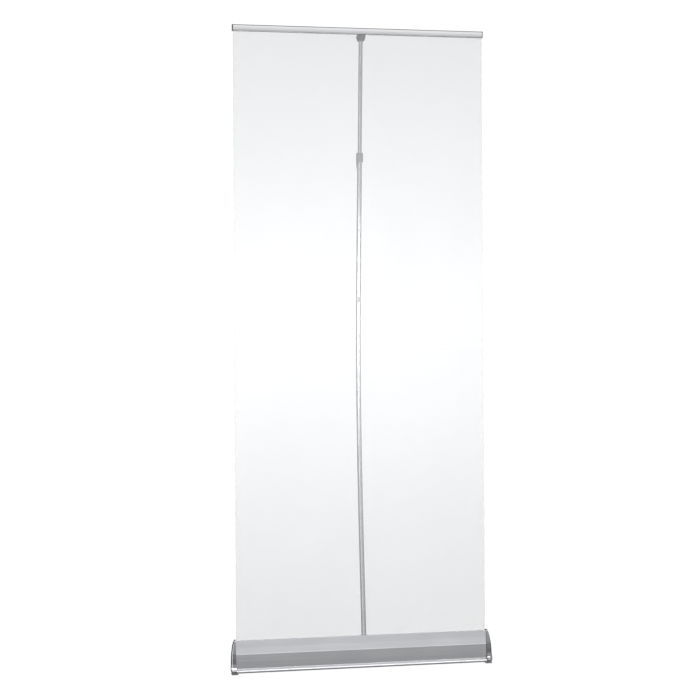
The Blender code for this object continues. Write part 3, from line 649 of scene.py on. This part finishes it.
@dataclass
class Palette:
    """Every finish of the stand, made once."""

    base: bpy.types.Material = field(init=False)
    rail: bpy.types.Material = field(init=False)
    rail_rear: bpy.types.Material = field(init=False)
    tube: bpy.types.Material = field(init=False)
    chrome: bpy.types.Material = field(init=False)
    grey: bpy.types.Material = field(init=False)
    dark: bpy.types.Material = field(init=False)
    zinc: bpy.types.Material = field(init=False)
    rubber: bpy.types.Material = field(init=False)
    film: bpy.types.Material = field(init=False)
    leader: bpy.types.Material = field(init=False)

    def __post_init__(self) -> None:
        """Builds the materials."""
        extruded = ExtrudedAluminium
        self.base = extruded("extruded_satin_anodised_aluminium", "d1d2d6", 0.30, 1.0).build()
        self.rail = extruded("extruded_silver_anodised_rail", "e9eaec", 0.26, 1.0, 0.8, "f0f1f3").build()
        # Darker copy of the rail's anodised finish for the rear half: painted shade for the dark line along
        # the rail's top, where the cup sits in shade.
        self.rail_rear = extruded("extruded_grey_anodised_rail", "a4a5a8", 0.32, 1.0, 0.8, "acadb0").build()
        self.tube = DrawnTube("drawn_anodised_aluminium_tube", "e9eaec", 0.22, 1.0).build()
        self.chrome = ChromePlate("bright_chrome_plated_abs", "96979a", 0.07, 1.0).build()
        self.grey = MouldedPlastic("moulded_grey_nylon", "a2a3a6", 0.42).build()
        self.dark = MouldedPlastic("moulded_dark_grey_nylon", "5c5d61", 0.45, high="66676b").build()
        self.zinc = ZincPlate("zinc_plated_steel", "b2b4b6", 0.34, 1.0).build()
        self.rubber = MouldedRubber("moulded_grey_rubber", "b0b1b4", 0.70).build()
        self.film = FrostedFilm("cast_frosted_polypropylene_film", "eff2f6", 0.42).build()
        self.leader = FrostedFilm("wound_polyester_leader_strip", "dfe3e8", 0.25, clear=0.9, edge=0.9).build()


def dress(obj: bpy.types.Object, material: bpy.types.Material, slot: str, body: Body, *nodes: str) -> None:
    """Gives a piece its finish, its body and the CAD nodes that it stands for.

    Args:
        obj: The piece.
        material: Its finish.
        slot: The record's material slot; not used.
        body: The body that it rides on.
        *nodes: The CAD nodes that it replaces.
    """
    flattened(obj)
    obj.data.materials.clear()
    obj.data.materials.append(material)
    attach(obj, body.value)
    if nodes:
        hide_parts(*nodes)
    LOG.info("built %s on %s", obj.name, body.value)


def repaint(material: bpy.types.Material, *nodes: str) -> None:
    """Gives a finish to CAD nodes that are shown as they are."""
    for name in nodes:
        node = frame["nodes"][name]
        node.data.materials.clear()
        node.data.materials.append(material)
        LOG.info("dressed %s", name)


# The stand's own planes and lines


@dataclass(frozen=True)
class StandFrame:
    """Where the stand's main planes are, read from the CAD nodes."""

    slot_y: float
    slot_z: float
    lean: float
    drop: float
    half_base: float

    @classmethod
    def read(cls) -> "StandFrame":
        """Works the planes out from the CAD boxes and the rail's joint."""
        shell_low, shell_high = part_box("base_extrusion")
        slide = next(j for j in frame["joints"] if j["name"] == "rail_slide")
        lean = math.atan2(slide["axis"][1], slide["axis"][2])
        slot_y = shell_low.y + BaseShell.front_to_slot
        rail_low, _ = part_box("rail_back")
        slot_z = shell_high.z
        drop = (rail_low.z - slot_z) / math.cos(lean)
        return cls(slot_y, slot_z, lean, drop, shell_high.x)

    @property
    def up(self) -> Vector:
        """The direction along the banner."""
        return Vector((0.0, math.sin(self.lean), math.cos(self.lean)))

    def banner(self, along: float = 0.0) -> Matrix:
        """The banner's own axes, this far up from the slot."""
        turn = Matrix.Rotation(-self.lean, 4, "X")
        return Matrix.Translation(Vector((0.0, self.slot_y, self.slot_z)) + self.up * along) @ turn


# Base


@dataclass
class BaseShell:
    """The extruded base: two front facets over a rounded lip, an open slot on top and a bowed rear."""

    front_to_slot = 0.0232
    wall: float = 2.0
    hole_radius: float = 11.4
    hole_reach: float = 34.0
    hole_above_foot: float = 30.0
    outline: Outline = (
        (-1.8, 108.7, 0.0),
        (-3.6, 107.9, 0.6),
        (-7.1, 86.7, 400.0),
        (-11.0, 65.7, 0.8),
        (-11.6, 63.2, 0.8),
        (-13.7, 41.0, 400.0),
        (-15.6, 17.4, 1.5),
        (-19.6, 14.2, 5.0),
        (-22.6, 11.0, 5.0),
        (-23.2, 7.0, 3.0),
        (-21.6, 4.0, 1.2),
        (38.0, 4.0, 6.0),
        (42.0, 8.0, 9.0),
        (43.2, 18.5, 40.0),
        (42.4, 34.0, 60.0),
        (40.0, 49.5, 60.0),
        (36.5, 64.0, 60.0),
        (31.0, 78.0, 30.0),
        (5.0, 105.2, 3.0),
        (2.6, 106.7, 0.0),
    )

    def build(self, stand: StandFrame, palette: Palette) -> None:
        """Draws the shell out between the end plates and opens it for the pole's socket."""
        inner = shifted(self.outline, -self.wall)
        walls = []
        for line in (self.outline, inner):
            walls.append([(y + stand.slot_y, z) for y, z in rounded(line, closed=False)])
        shell = drawn_out("base_shell", walls[0], walls[1], -stand.half_base, stand.half_base)
        shell = cut(shell, self.socket_tool())
        dress(shell, palette.base, "base_anodised", Body.BASE, "base_extrusion")

    def socket_tool(self) -> bpy.types.Object:
        """The hole that the pole's socket goes through, along the foot of the pole."""
        line = PoleLine.read("pole_lower_section")
        foot, tilt = line.points[0], line.tilt_at_foot()
        middle = foot + Vector((0, 0, self.hole_above_foot * MM))
        place = Matrix.Translation(middle) @ Matrix.Rotation(-tilt, 4, "X")
        across, along = self.hole_radius * MM, self.hole_reach * MM
        profile = [(0.0, along), (across, along), (across, -along), (0.0, -along)]
        return turned("socket_hole", profile, place, 48)


@dataclass(frozen=True)
class PoleLine:
    """The centre line of a stretch of pole, read from its CAD tube."""

    points: tuple[Vector, ...]

    @classmethod
    def read(cls, node: str, gap: float = 0.006) -> "PoleLine":
        """Takes the middle of each ring of a CAD tube.

        Args:
            node: The CAD tube.
            gap: Rings further apart than this in height are separate.

        Returns:
            The line, from the foot upwards.
        """
        spots = {tuple(round(c, 5) for c in vert.co) for vert in frame["nodes"][node].data.vertices}
        rings: list[list[tuple[float, ...]]] = [[]]
        for spot in sorted(spots, key=lambda s: s[2]):
            if rings[-1] and spot[2] - rings[-1][-1][2] > gap:
                rings.append([])
            rings[-1].append(spot)
        return cls(tuple(Vector(np.mean(ring, axis=0)) for ring in rings))

    def tilt_at_foot(self) -> float:
        """How far the foot leans back, in radians."""
        step = self.points[1] - self.points[0]
        return math.atan2(step.y, step.z)


@dataclass
class EndCap:
    """A domed chrome cap over one end of the base: full at its foot, thin at its rear and its top."""

    side: Side
    wall: float = 1.4
    thick: float = 19.0
    edge: float = 0.50
    crown: float = 0.97
    dome: float = 0.72
    steps: int = 12
    centre: tuple[float, float] = (6.0, 42.0)
    slot: float = 108.7
    rim: Outline = (
        (-25.6, 6.3, 0.8),
        (-27.2, 8.4, 1.5),
        (-26.8, 12.2, 3.0),
        (-23.8, 16.8, 8.0),
        (-20.2, 23.0, 20.0),
        (-18.2, 34.0, 60.0),
        (-16.4, 50.0, 90.0),
        (-14.2, 67.0, 90.0),
        (-11.4, 83.0, 90.0),
        (-8.2, 98.6, 90.0),
        (-5.8, 108.0, 20.0),
        (-2.8, 111.4, 6.0),
        (1.0, 112.3, 6.0),
        (5.2, 111.0, 9.0),
        (12.4, 105.6, 40.0),
        (22.4, 96.0, 60.0),
        (34.0, 83.0, 60.0),
        (41.0, 68.0, 60.0),
        (44.4, 52.0, 60.0),
        (46.2, 35.0, 60.0),
        (46.8, 20.0, 60.0),
        (46.0, 6.3, 0.8),
    )
    by_depth: Line = field(default_factory=lambda: [(-16.0, 1.0), (0.0, 0.78), (20.0, 0.56), (47.0, 0.32)])
    by_height: Line = field(
        default_factory=lambda: [(-60.0, 1.0), (-40.0, 0.97), (-20.0, 0.80), (-5.0, 0.60), (4.0, 0.50)]
    )

    def fullness(self, depth: float, height: float) -> float:
        """How full the cap is at this spot in millimetres, from 1 at the front of its foot."""
        share = 1.0
        for spots, value in ((self.by_depth, depth), (self.by_height, height - self.slot)):
            share *= float(np.interp(value, [spot for spot, _ in spots], [full for _, full in spots]))
        return share

    def rings(self) -> list[tuple[float, float]]:
        """(scale, rise) of each ring of the dome, from its rim to its middle."""
        found = [(1.0, 0.0), (1.0, self.edge / 2), (1.0, self.edge)]
        for i in range(1, self.steps + 1):
            angle = math.radians(90 * i / self.steps)
            rise = self.edge + (self.crown - self.edge) * math.sin(angle)
            found.append((1 - (1 - self.dome) * (1 - math.cos(angle)), rise))
        for scale in (0.60, 0.45, 0.30, 0.15, 0.05):
            found.append((scale, 1 - (1 - self.crown) * (scale / self.dome) ** 2))
        return found

    def build(self, stand: StandFrame, palette: Palette) -> None:
        """Lays the rings from rim to middle, and gives the open dome its wall."""
        name = f"end_cap_{self.side.name.lower()}"
        line = rounded(self.rim, closed=True, steps=6)
        near = stand.half_base + CLEAR
        middle = [c * MM for c in self.centre]
        bm = bmesh.new()
        loops = []
        for scale, rise in self.rings():
            loop = []
            for depth, height in line:
                y = middle[0] + (depth - middle[0]) * scale
                z = middle[1] + (height - middle[1]) * scale
                x = near + self.thick * MM * rise * self.fullness(y / MM, z / MM)
                loop.append(bm.verts.new((x * self.side.value, y + stand.slot_y, z)))
            loops.append(loop)
        for low, high in zip(loops, loops[1:]):
            band(bm, low, high)
        bm.faces.new(loops[-1])
        cap = finished(bm, f"chrome_{name}")
        self.face_outwards(cap)
        wall = cap.modifiers.new("wall", "SOLIDIFY")
        wall.thickness = self.wall * MM
        wall.offset = -1.0
        cap = settled(cap)
        dress(cap, palette.chrome, "cap_chrome", Body.BASE, name)

    def face_outwards(self, cap: bpy.types.Object) -> None:
        """Turns the open dome so that its faces point away from the base."""
        middle = cap.data.polygons[-1]
        if middle.normal.x * self.side.value < 0:
            cap.data.flip_normals()


@dataclass
class FootPads:
    """The rubber feet under the caps, each stepped thinner where it goes under the base."""

    edge: float = 1.6
    inside: float = 6.0
    step: float = 3.7

    def build(self, stand: StandFrame, palette: Palette) -> None:
        """Makes each foot from the outline of its CAD box, with the step that goes under the base."""
        for place in ("front", "rear"):
            for side in Side:
                node = f"foot_{place}_{side.name.lower()}"
                low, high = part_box(node)
                outer = max(abs(low.x), abs(high.x))
                inner = stand.half_base - self.inside * MM
                wall = stand.half_base + 2 * CLEAR
                outline = [(outer, 0.0), (outer, high.z), (wall, high.z), (wall, self.step * MM)]
                outline += [(inner, self.step * MM), (inner, 0.0)]
                bm = bmesh.new()
                ends = []
                for y in (low.y, high.y):
                    ends.append([bm.verts.new((x * side.value, y, z)) for x, z in outline])
                    bm.faces.new(ends[-1])
                band(bm, *ends)
                pad = softened(finished(bm, f"rubber_{node}"), self.edge * MM, 5)
                dress(pad, palette.rubber, "pad_rubber", Body.BASE, node)


# Banner


@dataclass
class BannerFilm:
    """The sheet of frosted film, drawn tight from the roller to the rail."""

    thick: float = 0.4
    columns: int = 36
    rows: int = 150
    ripple: float = 0.7
    calm: float = 0.3
    edge: float = 2.4

    def build(self, stand: StandFrame, palette: Palette) -> None:
        """Lays the sheet out on the leaning plane with the slight ripple of a tight film."""
        low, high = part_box("banner_sheet")
        half = high.x
        foot = (low.z - stand.slot_z) / math.cos(stand.lean)
        head = (high.z - stand.slot_z) / math.cos(stand.lean)
        place = stand.banner()
        bm = bmesh.new()
        layer = bm.verts.layers.float.new("cut_edge")
        edges = [-half, -half + self.edge * MM, half - self.edge * MM, half]
        across = sorted(edges + [half * (2 * i / self.columns - 1) for i in range(1, self.columns)])
        grid = []
        for row in range(self.rows + 1):
            up = foot + (head - foot) * row / self.rows
            line = []
            for x in across:
                vert = bm.verts.new(place @ Vector((x, self.bulge(x, up, head), up)))
                vert[layer] = 1.0 if abs(x) > half - 0.0001 else 0.0
                line.append(vert)
            grid.append(line)
        for lower, upper in zip(grid, grid[1:]):
            for i in range(len(across) - 1):
                bm.faces.new((lower[i], lower[i + 1], upper[i + 1], upper[i]))
        sheet = finished(bm, "frosted_banner_film")
        shell = sheet.modifiers.new("film", "SOLIDIFY")
        shell.thickness = self.thick * MM
        shell.offset = 0.0
        sheet = settled(sheet)
        dress(sheet, palette.film, "banner_film", Body.BASE, "banner_sheet")
        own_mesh(sheet)

    def bulge(self, x: float, up: float, head: float) -> float:
        """How far the film stands off its plane, which is nothing at the slot and the rail."""
        share = min(max(up, 0.0) / self.calm, (head - up) / self.calm, 1.0)
        return self.ripple * MM * share * noise.noise(Vector((x * 3.1, up * 1.3, 4.7)))


# Rail


@dataclass
class TopRail:
    """The snap rail: a rear half with a cup along its top, and a front jaw that turns in it."""

    pivot: float = 18.4
    bead: float = 1.9
    cup_inner: float = 2.2
    cup_outer: float = 3.4
    back: float = 5.6

    def arc(self, radius: float, start: float, end: float, count: int) -> list[tuple[float, float, float]]:
        """Points about the jaw's pivot, in degrees from the rear, up over the top."""
        found = []
        for i in range(count + 1):
            angle = math.radians(start + (end - start) * i / count)
            found.append((radius * math.cos(angle), self.pivot + radius * math.sin(angle), 0.3))
        return found

    def rear_outline(self) -> list[tuple[float, float, float]]:
        """The rear half's section."""
        top = self.pivot
        line = self.arc(self.cup_outer, 200, 264, 6)
        line += [(3.0, top - 4.8, 0.5), (3.6, top - 6.6, 0.8), (3.6, 3.0, 0.4)]
        line += [(0.6, 2.6, 0.2), (0.6, 0.4, 0.2), (1.0, 0.0, 0.2), (4.8, 0.0, 0.6)]
        line += [(self.back, 1.0, 0.6), (self.back, top - 4.1, 1.5), (4.0, top - 1.6, 0.6)]
        line += self.arc(self.cup_outer, 365, 470, 12)
        line += self.arc(self.cup_inner, 470, 200, 26)
        return line

    def jaw_outline(self) -> list[tuple[float, float, float]]:
        """The front jaw's section, from its bead down the face."""
        top = self.pivot
        line = self.arc(self.bead, 158, -158, 26)
        line += [(-3.6, top - 0.8, 0.3), (-4.1, top - 2.0, 0.3), (-4.5, 10.0, 1.0), (-4.1, 3.0, 0.3)]
        line += [(-0.6, 2.6, 0.2), (-0.6, 0.4, 0.2), (-1.0, 0.0, 0.2), (-4.8, 0.0, 0.4), (-5.6, 0.8, 0.6)]
        line += [(-5.9, 5.0, 6.0), (-6.0, 11.0, 6.0), (-5.7, top - 2.2, 2.0), (-5.0, top - 0.2, 1.2)]
        line += [(-3.9, top + 0.8, 0.4)]
        return line

    def build(self, stand: StandFrame, palette: Palette) -> None:
        """Makes both halves and the two end plugs."""
        place = stand.banner(stand.drop)
        pieces = (
            # The rear half wears the darker copy of the rail finish: painted shade along the rail's top.
            ("snap_rail_rear", self.rear_outline(), palette.rail_rear, "rail_back", Body.RAIL),
            ("snap_rail_jaw", self.jaw_outline(), palette.rail, "rail_jaw", Body.JAW),
        )
        for name, outline, material, node, body in pieces:
            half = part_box(node)[1].x
            rail = drawn_out(name, rounded(outline, closed=True, steps=3), None, -half, half)
            rail.data.transform(place)
            dress(rail, material, "rail_anodised", body, node)
        for side in Side:
            node = f"rail_plug_{side.name.lower()}"
            plug = softened(copied(node, f"moulded_{node}"), 0.0006, 3, 25)
            dress(plug, palette.grey, "grey_plastic", Body.RAIL, node)


# Pole


@dataclass
class TubePath:
    """A tube swept along a centre line by geometry nodes."""

    sides: int = 48

    def tree(self) -> bpy.types.NodeTree:
        """The node tree: a circle swept along the incoming line.

        Returns:
            The tree, with inputs for the radius, the sides and the finish.
        """
        made, given = begun("tube_along_line", Radius="NodeSocketFloat", Sides="NodeSocketInt")
        line = add_node(made, "GeometryNodeMeshToCurve", links={"Mesh": given["Geometry"]})
        ring = add_node(
            made,
            "GeometryNodeCurvePrimitiveCircle",
            links={"Resolution": given["Sides"], "Radius": given["Radius"]},
        )
        swept = add_node(
            made,
            "GeometryNodeCurveToMesh",
            links={"Curve": line.outputs["Curve"], "Profile Curve": ring.outputs["Curve"]},
        )
        return ended(made, given, swept.outputs["Mesh"])

    def sweep(
        self, name: str, points: Iterable[Vector], radius: float, wall: float, finish: bpy.types.Material
    ) -> bpy.types.Object:
        """Sweeps one tube and gives it a wall.

        Args:
            name: The piece's name.
            points: Its centre line.
            radius: Outer radius.
            wall: Thickness of the wall.
            finish: Its material.

        Returns:
            The tube, settled.
        """
        line = bpy.data.meshes.new(name)
        places = [tuple(p) for p in points]
        line.from_pydata(places, [(i, i + 1) for i in range(len(places) - 1)], [])
        tube = bpy.data.objects.new(name, line)
        bpy.context.scene.collection.objects.link(tube)
        tree = bpy.data.node_groups.get("tube_along_line") or self.tree()
        given_to(tube, tree, Radius=radius, Sides=self.sides, Finish=finish)
        shell = tube.modifiers.new("wall", "SOLIDIFY")
        shell.thickness = wall
        shell.offset = -1.0
        shell.use_even_offset = True
        return settled(tube)


def smoothed(points: Sequence[Vector], parts: int) -> list[Vector]:
    """Draws a smooth line through points.

    Args:
        points: At least two points.
        parts: New points for each stretch.

    Returns:
        Points of a spline through all of them.
    """
    found = []
    padded = [points[0] * 2 - points[1], *points, points[-1] * 2 - points[-2]]
    for a, b, c, d in zip(padded, padded[1:], padded[2:], padded[3:]):
        for i in range(parts):
            t = i / parts
            square, cube = 2 * a - 5 * b + 4 * c - d, 3 * b - a - 3 * c + d
            found.append(0.5 * (2 * b + (c - a) * t + square * t**2 + cube * t**3))
    found.append(points[-1])
    return found


@dataclass
class Pole:
    """The telescopic pole: two bowed sections on a spigot and a straight upper section."""

    radius: float = 8.0
    upper_radius: float = 6.7
    wall: float = 0.9

    def build(self, stand: StandFrame, palette: Palette) -> None:
        """Sweeps each section along the middle of its CAD tube."""
        tube = TubePath()
        sections = (
            ("pole_lower_section", "drawn_lower_tube", self.radius, Body.BASE),
            ("pole_middle_section", "drawn_middle_tube", self.radius, Body.BASE),
            ("pole_upper_section", "drawn_upper_tube", self.upper_radius, Body.POLE_TOP),
        )
        for node, name, radius, body in sections:
            line = smoothed(PoleLine.read(node).points, 4)
            made = tube.sweep(name, line, radius * MM, self.wall * MM, palette.tube)
            dress(made, palette.tube, "tube_aluminium", body, node)


@dataclass
class PanScrews:
    """The cross-recessed pan-head screws of both end plates, put in place by geometry nodes."""

    shank: float = 1.5
    head: float = 2.6
    high: float = 1.6
    length: float = 13.0
    pitch: float = 1.0
    cross: tuple[float, float, float] = (2.8, 0.6, 2.2)
    turn_each: float = 37.0

    def profile(self) -> Line:
        """The screw from the middle of its head down its threaded shank, in metres."""
        high, head = self.high, self.head
        line = [(0.0, high), (1.2, high - 0.06), (2.1, high * 0.72), (head, high * 0.35), (head, 0.0)]
        line.append((self.shank - 0.05, 0.0))
        count = int(self.length / self.pitch) - 1
        for i in range(count):
            low = -(i + 0.4) * self.pitch
            line += [(self.shank - 0.35, low), (self.shank, low - 0.4 * self.pitch)]
        line += [(self.shank * 0.4, -self.length), (0.0, -self.length)]
        return [(radius * MM, height * MM) for radius, height in line]

    def one(self) -> bpy.types.Object:
        """One screw with its head towards +X and a cross cut into it."""
        screw = turned("pan_screw", self.profile(), Matrix.Identity(4), 32)
        for turn in (0.0, 90.0):
            bm = bmesh.new()
            bmesh.ops.create_cube(bm, size=1.0)
            arm = Matrix.Diagonal((*(size * MM for size in self.cross), 1.0))
            place = Matrix.Translation((0, 0, self.high * MM))
            bm.transform(place @ Matrix.Rotation(math.radians(turn), 4, "Z") @ arm)
            screw = cut(screw, finished(bm, "screw_slot"))
        screw.data.transform(Matrix.Rotation(math.pi / 2, 4, "Y"))
        return screw

    def tree(self) -> bpy.types.NodeTree:
        """The node tree: a screw on every incoming point, turned to the point's own axis.

        Returns:
            The tree, with inputs for the screw and the finish.
        """
        made, given = begun("screws_on_points", Screw="NodeSocketObject")
        piece = add_node(made, "GeometryNodeObjectInfo", links={"Object": given["Screw"]})
        turn = add_node(made, "GeometryNodeInputNamedAttribute", {"Name": "turn"}, data_type="FLOAT_VECTOR")
        placed = add_node(
            made,
            "GeometryNodeInstanceOnPoints",
            links={
                "Points": given["Geometry"],
                "Instance": piece.outputs["Geometry"],
                "Rotation": turn.outputs["Attribute"],
            },
        )
        return ended(made, given, placed.outputs["Instances"])

    def build(self, palette: Palette) -> None:
        """Puts a point at each CAD screw and lets the nodes fill them."""
        nodes = [f"plate_screw_{side.name.lower()}_{n}" for side in Side for n in (1, 2, 3)]
        bm = bmesh.new()
        layer = bm.verts.layers.float_vector.new("turn")
        for number, node in enumerate(nodes):
            low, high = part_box(node)
            side = 1.0 if low.x > 0 else -1.0
            seat = (high.x if side > 0 else low.x) - side * self.high * MM
            vert = bm.verts.new((seat, (low.y + high.y) / 2, (low.z + high.z) / 2))
            spin = math.radians(self.turn_each * number)
            vert[layer] = Vector((spin, 0.0, 0.0 if side > 0 else math.pi))
        mesh = bpy.data.meshes.new("end_plate_screws")
        bm.to_mesh(mesh)
        bm.free()
        screws = bpy.data.objects.new("end_plate_screws", mesh)
        bpy.context.scene.collection.objects.link(screws)
        screw = self.one()
        given_to(screws, self.tree(), Screw=screw, Finish=palette.zinc)
        screws = settled(screws)
        bpy.data.objects.remove(screw)
        dress(screws, palette.zinc, "zinc_steel", Body.BASE, *nodes)


@dataclass
class Mouldings:
    """The pole's moulded pieces, each from its CAD shape with the rounded edges of a mould."""

    def build(self, palette: Palette) -> None:
        """Rounds and dresses the head, the collar, the socket and the lever."""
        pieces = (
            ("pole_head", 0.0012, palette.dark, "grey_plastic", Body.POLE_TOP),
            ("pole_collar", 0.0006, palette.grey, "grey_plastic", Body.BASE),
            ("pole_socket", 0.0008, palette.dark, "dark_plastic", Body.BASE),
            ("clamp_lever", 0.0005, palette.grey, "grey_plastic", Body.LEVER),
        )
        for node, width, material, slot, body in pieces:
            piece = softened(copied(node, f"moulded_{node}"), width, 3, 28)
            dress(piece, material, slot, body, node)


# Camera, light and floor


@dataclass(frozen=True)
class StudioCamera:
    """A long lens a little to the left of the stand, at chest height."""

    azimuth: float = -12.8
    distance: float = 6.230
    height: float = 1.2717
    aim_x: float = -0.0410
    pitch: float = 1.104
    roll: float = -0.061
    lens: float = 96.7
    sensor: float = 36.0
    shift: float = -0.04

    def build(self, stand: StandFrame) -> None:
        """Makes the camera and gives it to the scene."""
        turn = math.radians(self.azimuth)
        place = Vector(
            (
                self.aim_x + math.sin(turn) * self.distance,
                stand.slot_y - math.cos(turn) * self.distance,
                self.height,
            )
        )
        data = bpy.data.cameras.new("studio_camera")
        data.lens = self.lens
        data.sensor_width = self.sensor
        data.shift_y = self.shift
        data.clip_end = 60.0
        camera = bpy.data.objects.new("studio_camera", data)
        bpy.context.scene.collection.objects.link(camera)
        look = Matrix.Rotation(math.radians(self.azimuth), 4, "Z")
        tip = Matrix.Rotation(math.radians(90 - self.pitch), 4, "X")
        lean = Matrix.Rotation(math.radians(self.roll), 4, "Z")
        camera.matrix_world = Matrix.Translation(place) @ look @ tip @ lean
        bpy.context.scene.camera = camera


@dataclass(frozen=True)
class Studio:
    """A white room: a pale floor, a wide and a tall soft light in front, and a graded sky."""

    key_power: float = 18.5
    key_size: tuple[float, float] = (2.4, 0.3)
    key_place: tuple[float, float, float] = (-0.1, -1.2, 1.17)
    sky_top: float = 1.15
    sky_level: float = 0.85
    sky_low: float = 0.22
    sky_behind: float = 0.35
    sky_fill: float = 0.12
    strip_power: float = 17.0
    strip_size: tuple[float, float] = (1.0, 3.2)
    strip_place: tuple[float, float, float] = (-1.6, -2.2, 1.40)

    def build(self) -> None:
        """Makes the floor, the lights and the sky."""
        self.floor()
        self.light("front_strip", self.key_power, self.key_size, self.key_place)
        gloss = self.light("tall_strip", self.strip_power, self.strip_size, self.strip_place)
        gloss.visible_diffuse = False
        self.sky()
        view = bpy.context.scene.view_settings
        view.view_transform = "Standard"
        view.look = "None"

    def floor(self) -> None:
        """A wide pale floor, bright enough to leave no edge against the sky."""
        bm = bmesh.new()
        bmesh.ops.create_grid(bm, x_segments=8, y_segments=8, size=30.0)
        floor = finished(bm, "studio_floor")
        made = bpy.data.materials.new("pale_studio_paper")
        made.use_nodes = True
        shader = made.node_tree.nodes["Principled BSDF"]
        shader.inputs["Base Color"].default_value = linear("606060")
        shader.inputs["Roughness"].default_value = 0.9
        shader.inputs["Emission Color"].default_value = linear("ffffff")
        shader.inputs["Emission Strength"].default_value = 0.98
        floor.data.materials.append(made)
        floor.visible_glossy = False
        floor.visible_diffuse = False

    def light(
        self, name: str, power: float, size: tuple[float, float], place: tuple[float, float, float]
    ) -> bpy.types.Object:
        """Makes a soft light that faces the banner at its own height.

        Args:
            name: The light's name.
            power: Watts.
            size: Width and height in metres.
            place: Where it hangs.

        Returns:
            The light, unseen by the camera itself.
        """
        data = bpy.data.lights.new(name, "AREA")
        data.shape = "RECTANGLE"
        data.size, data.size_y = size
        data.energy = power
        made = bpy.data.objects.new(name, data)
        made.location = place
        aim = Vector((0.0, 0.0, place[2])) - Vector(place)
        made.rotation_mode = "QUATERNION"
        made.rotation_quaternion = aim.to_track_quat("-Z", "Y")
        made.visible_camera = False
        bpy.context.scene.collection.objects.link(made)
        return made

    def sky(self) -> None:
        """White to the eye, and graded from a pale ceiling to a dim skirting for everything else."""
        world = bpy.data.worlds.new("studio_sky")
        bpy.context.scene.world = world
        world.use_nodes = True
        tree = world.node_tree
        tree.nodes.clear()
        where = add_node(tree, "ShaderNodeTexCoord")
        split = add_node(tree, "ShaderNodeSeparateXYZ", links={"Vector": where.outputs["Generated"]})
        ramp = add_node(tree, "ShaderNodeValToRGB")
        height = add_node(
            tree,
            "ShaderNodeMapRange",
            {"From Min": -1.0, "From Max": 1.0},
            {"Value": split.outputs["Z"]},
        )
        tree.links.new(height.outputs["Result"], ramp.inputs["Fac"])
        stops = ((0.0, self.sky_low), (0.48, self.sky_low), (0.58, self.sky_level), (1.0, self.sky_top))
        elements = ramp.color_ramp.elements
        while len(elements) < len(stops):
            elements.new(0.5)
        for element, (spot, bright) in zip(elements, stops):
            element.position = spot
            element.color = (bright, bright, bright, 1.0)
        behind = add_node(
            tree,
            "ShaderNodeMapRange",
            {"From Min": -0.75, "From Max": 0.25, "To Min": 1.0, "To Max": self.sky_behind},
            {"Value": split.outputs["Y"]},
        )
        sideways = add_node(
            tree,
            "ShaderNodeMapRange",
            {"From Min": -0.5, "From Max": 0.5, "To Min": 0.9, "To Max": 1.1},
            {"Value": split.outputs["X"]},
        )
        path = add_node(tree, "ShaderNodeLightPath")
        fill = add_node(
            tree,
            "ShaderNodeMapRange",
            {"To Min": 1.0, "To Max": self.sky_fill},
            {"Value": path.outputs["Is Diffuse Ray"]},
        )
        strength = behind.outputs["Result"]
        for share in (fill, sideways):
            pair = {0: strength, 1: share.outputs["Result"]}
            strength = add_node(tree, "ShaderNodeMath", links=pair, operation="MULTIPLY").outputs["Value"]
        lit = add_node(
            tree, "ShaderNodeBackground", links={"Color": ramp.outputs["Color"], "Strength": strength}
        )
        plain = add_node(tree, "ShaderNodeBackground", {"Color": (1.0, 1.0, 1.0, 1.0), "Strength": 1.05})
        shown_as = {1: lit.outputs["Background"], 2: plain.outputs["Background"]}
        both = add_node(tree, "ShaderNodeMixShader", links={0: path.outputs["Is Camera Ray"], **shown_as})
        add_node(tree, "ShaderNodeOutputWorld", links={"Surface": both.outputs["Shader"]})


def main() -> None:
    """Builds the camera, the room and every piece of the stand, in order."""
    logging.basicConfig(level=logging.INFO, format="%(name)s: %(message)s")
    stand = StandFrame.read()
    StudioCamera().build(stand)
    Studio().build()
    palette = Palette()
    BaseShell().build(stand, palette)
    for side in Side:
        EndCap(side).build(stand, palette)
    FootPads().build(stand, palette)
    BannerFilm().build(stand, palette)
    TopRail().build(stand, palette)
    Pole().build(stand, palette)
    PanScrews().build(palette)
    Mouldings().build(palette)
    repaint(palette.zinc, "end_plate_left", "end_plate_right", "spring_arbor", "torsion_spring", "lever_pin")
    repaint(palette.grey, "pole_guide_bush", "arbor_bush", "spring_drive_plug", "roller_idle_plug")
    repaint(palette.dark, "pole_foot_plug")
    repaint(palette.tube, "roller_tube", "pole_spigot")
    repaint(palette.leader, "leader_wrap")


if __name__ == "__main__":
    main()
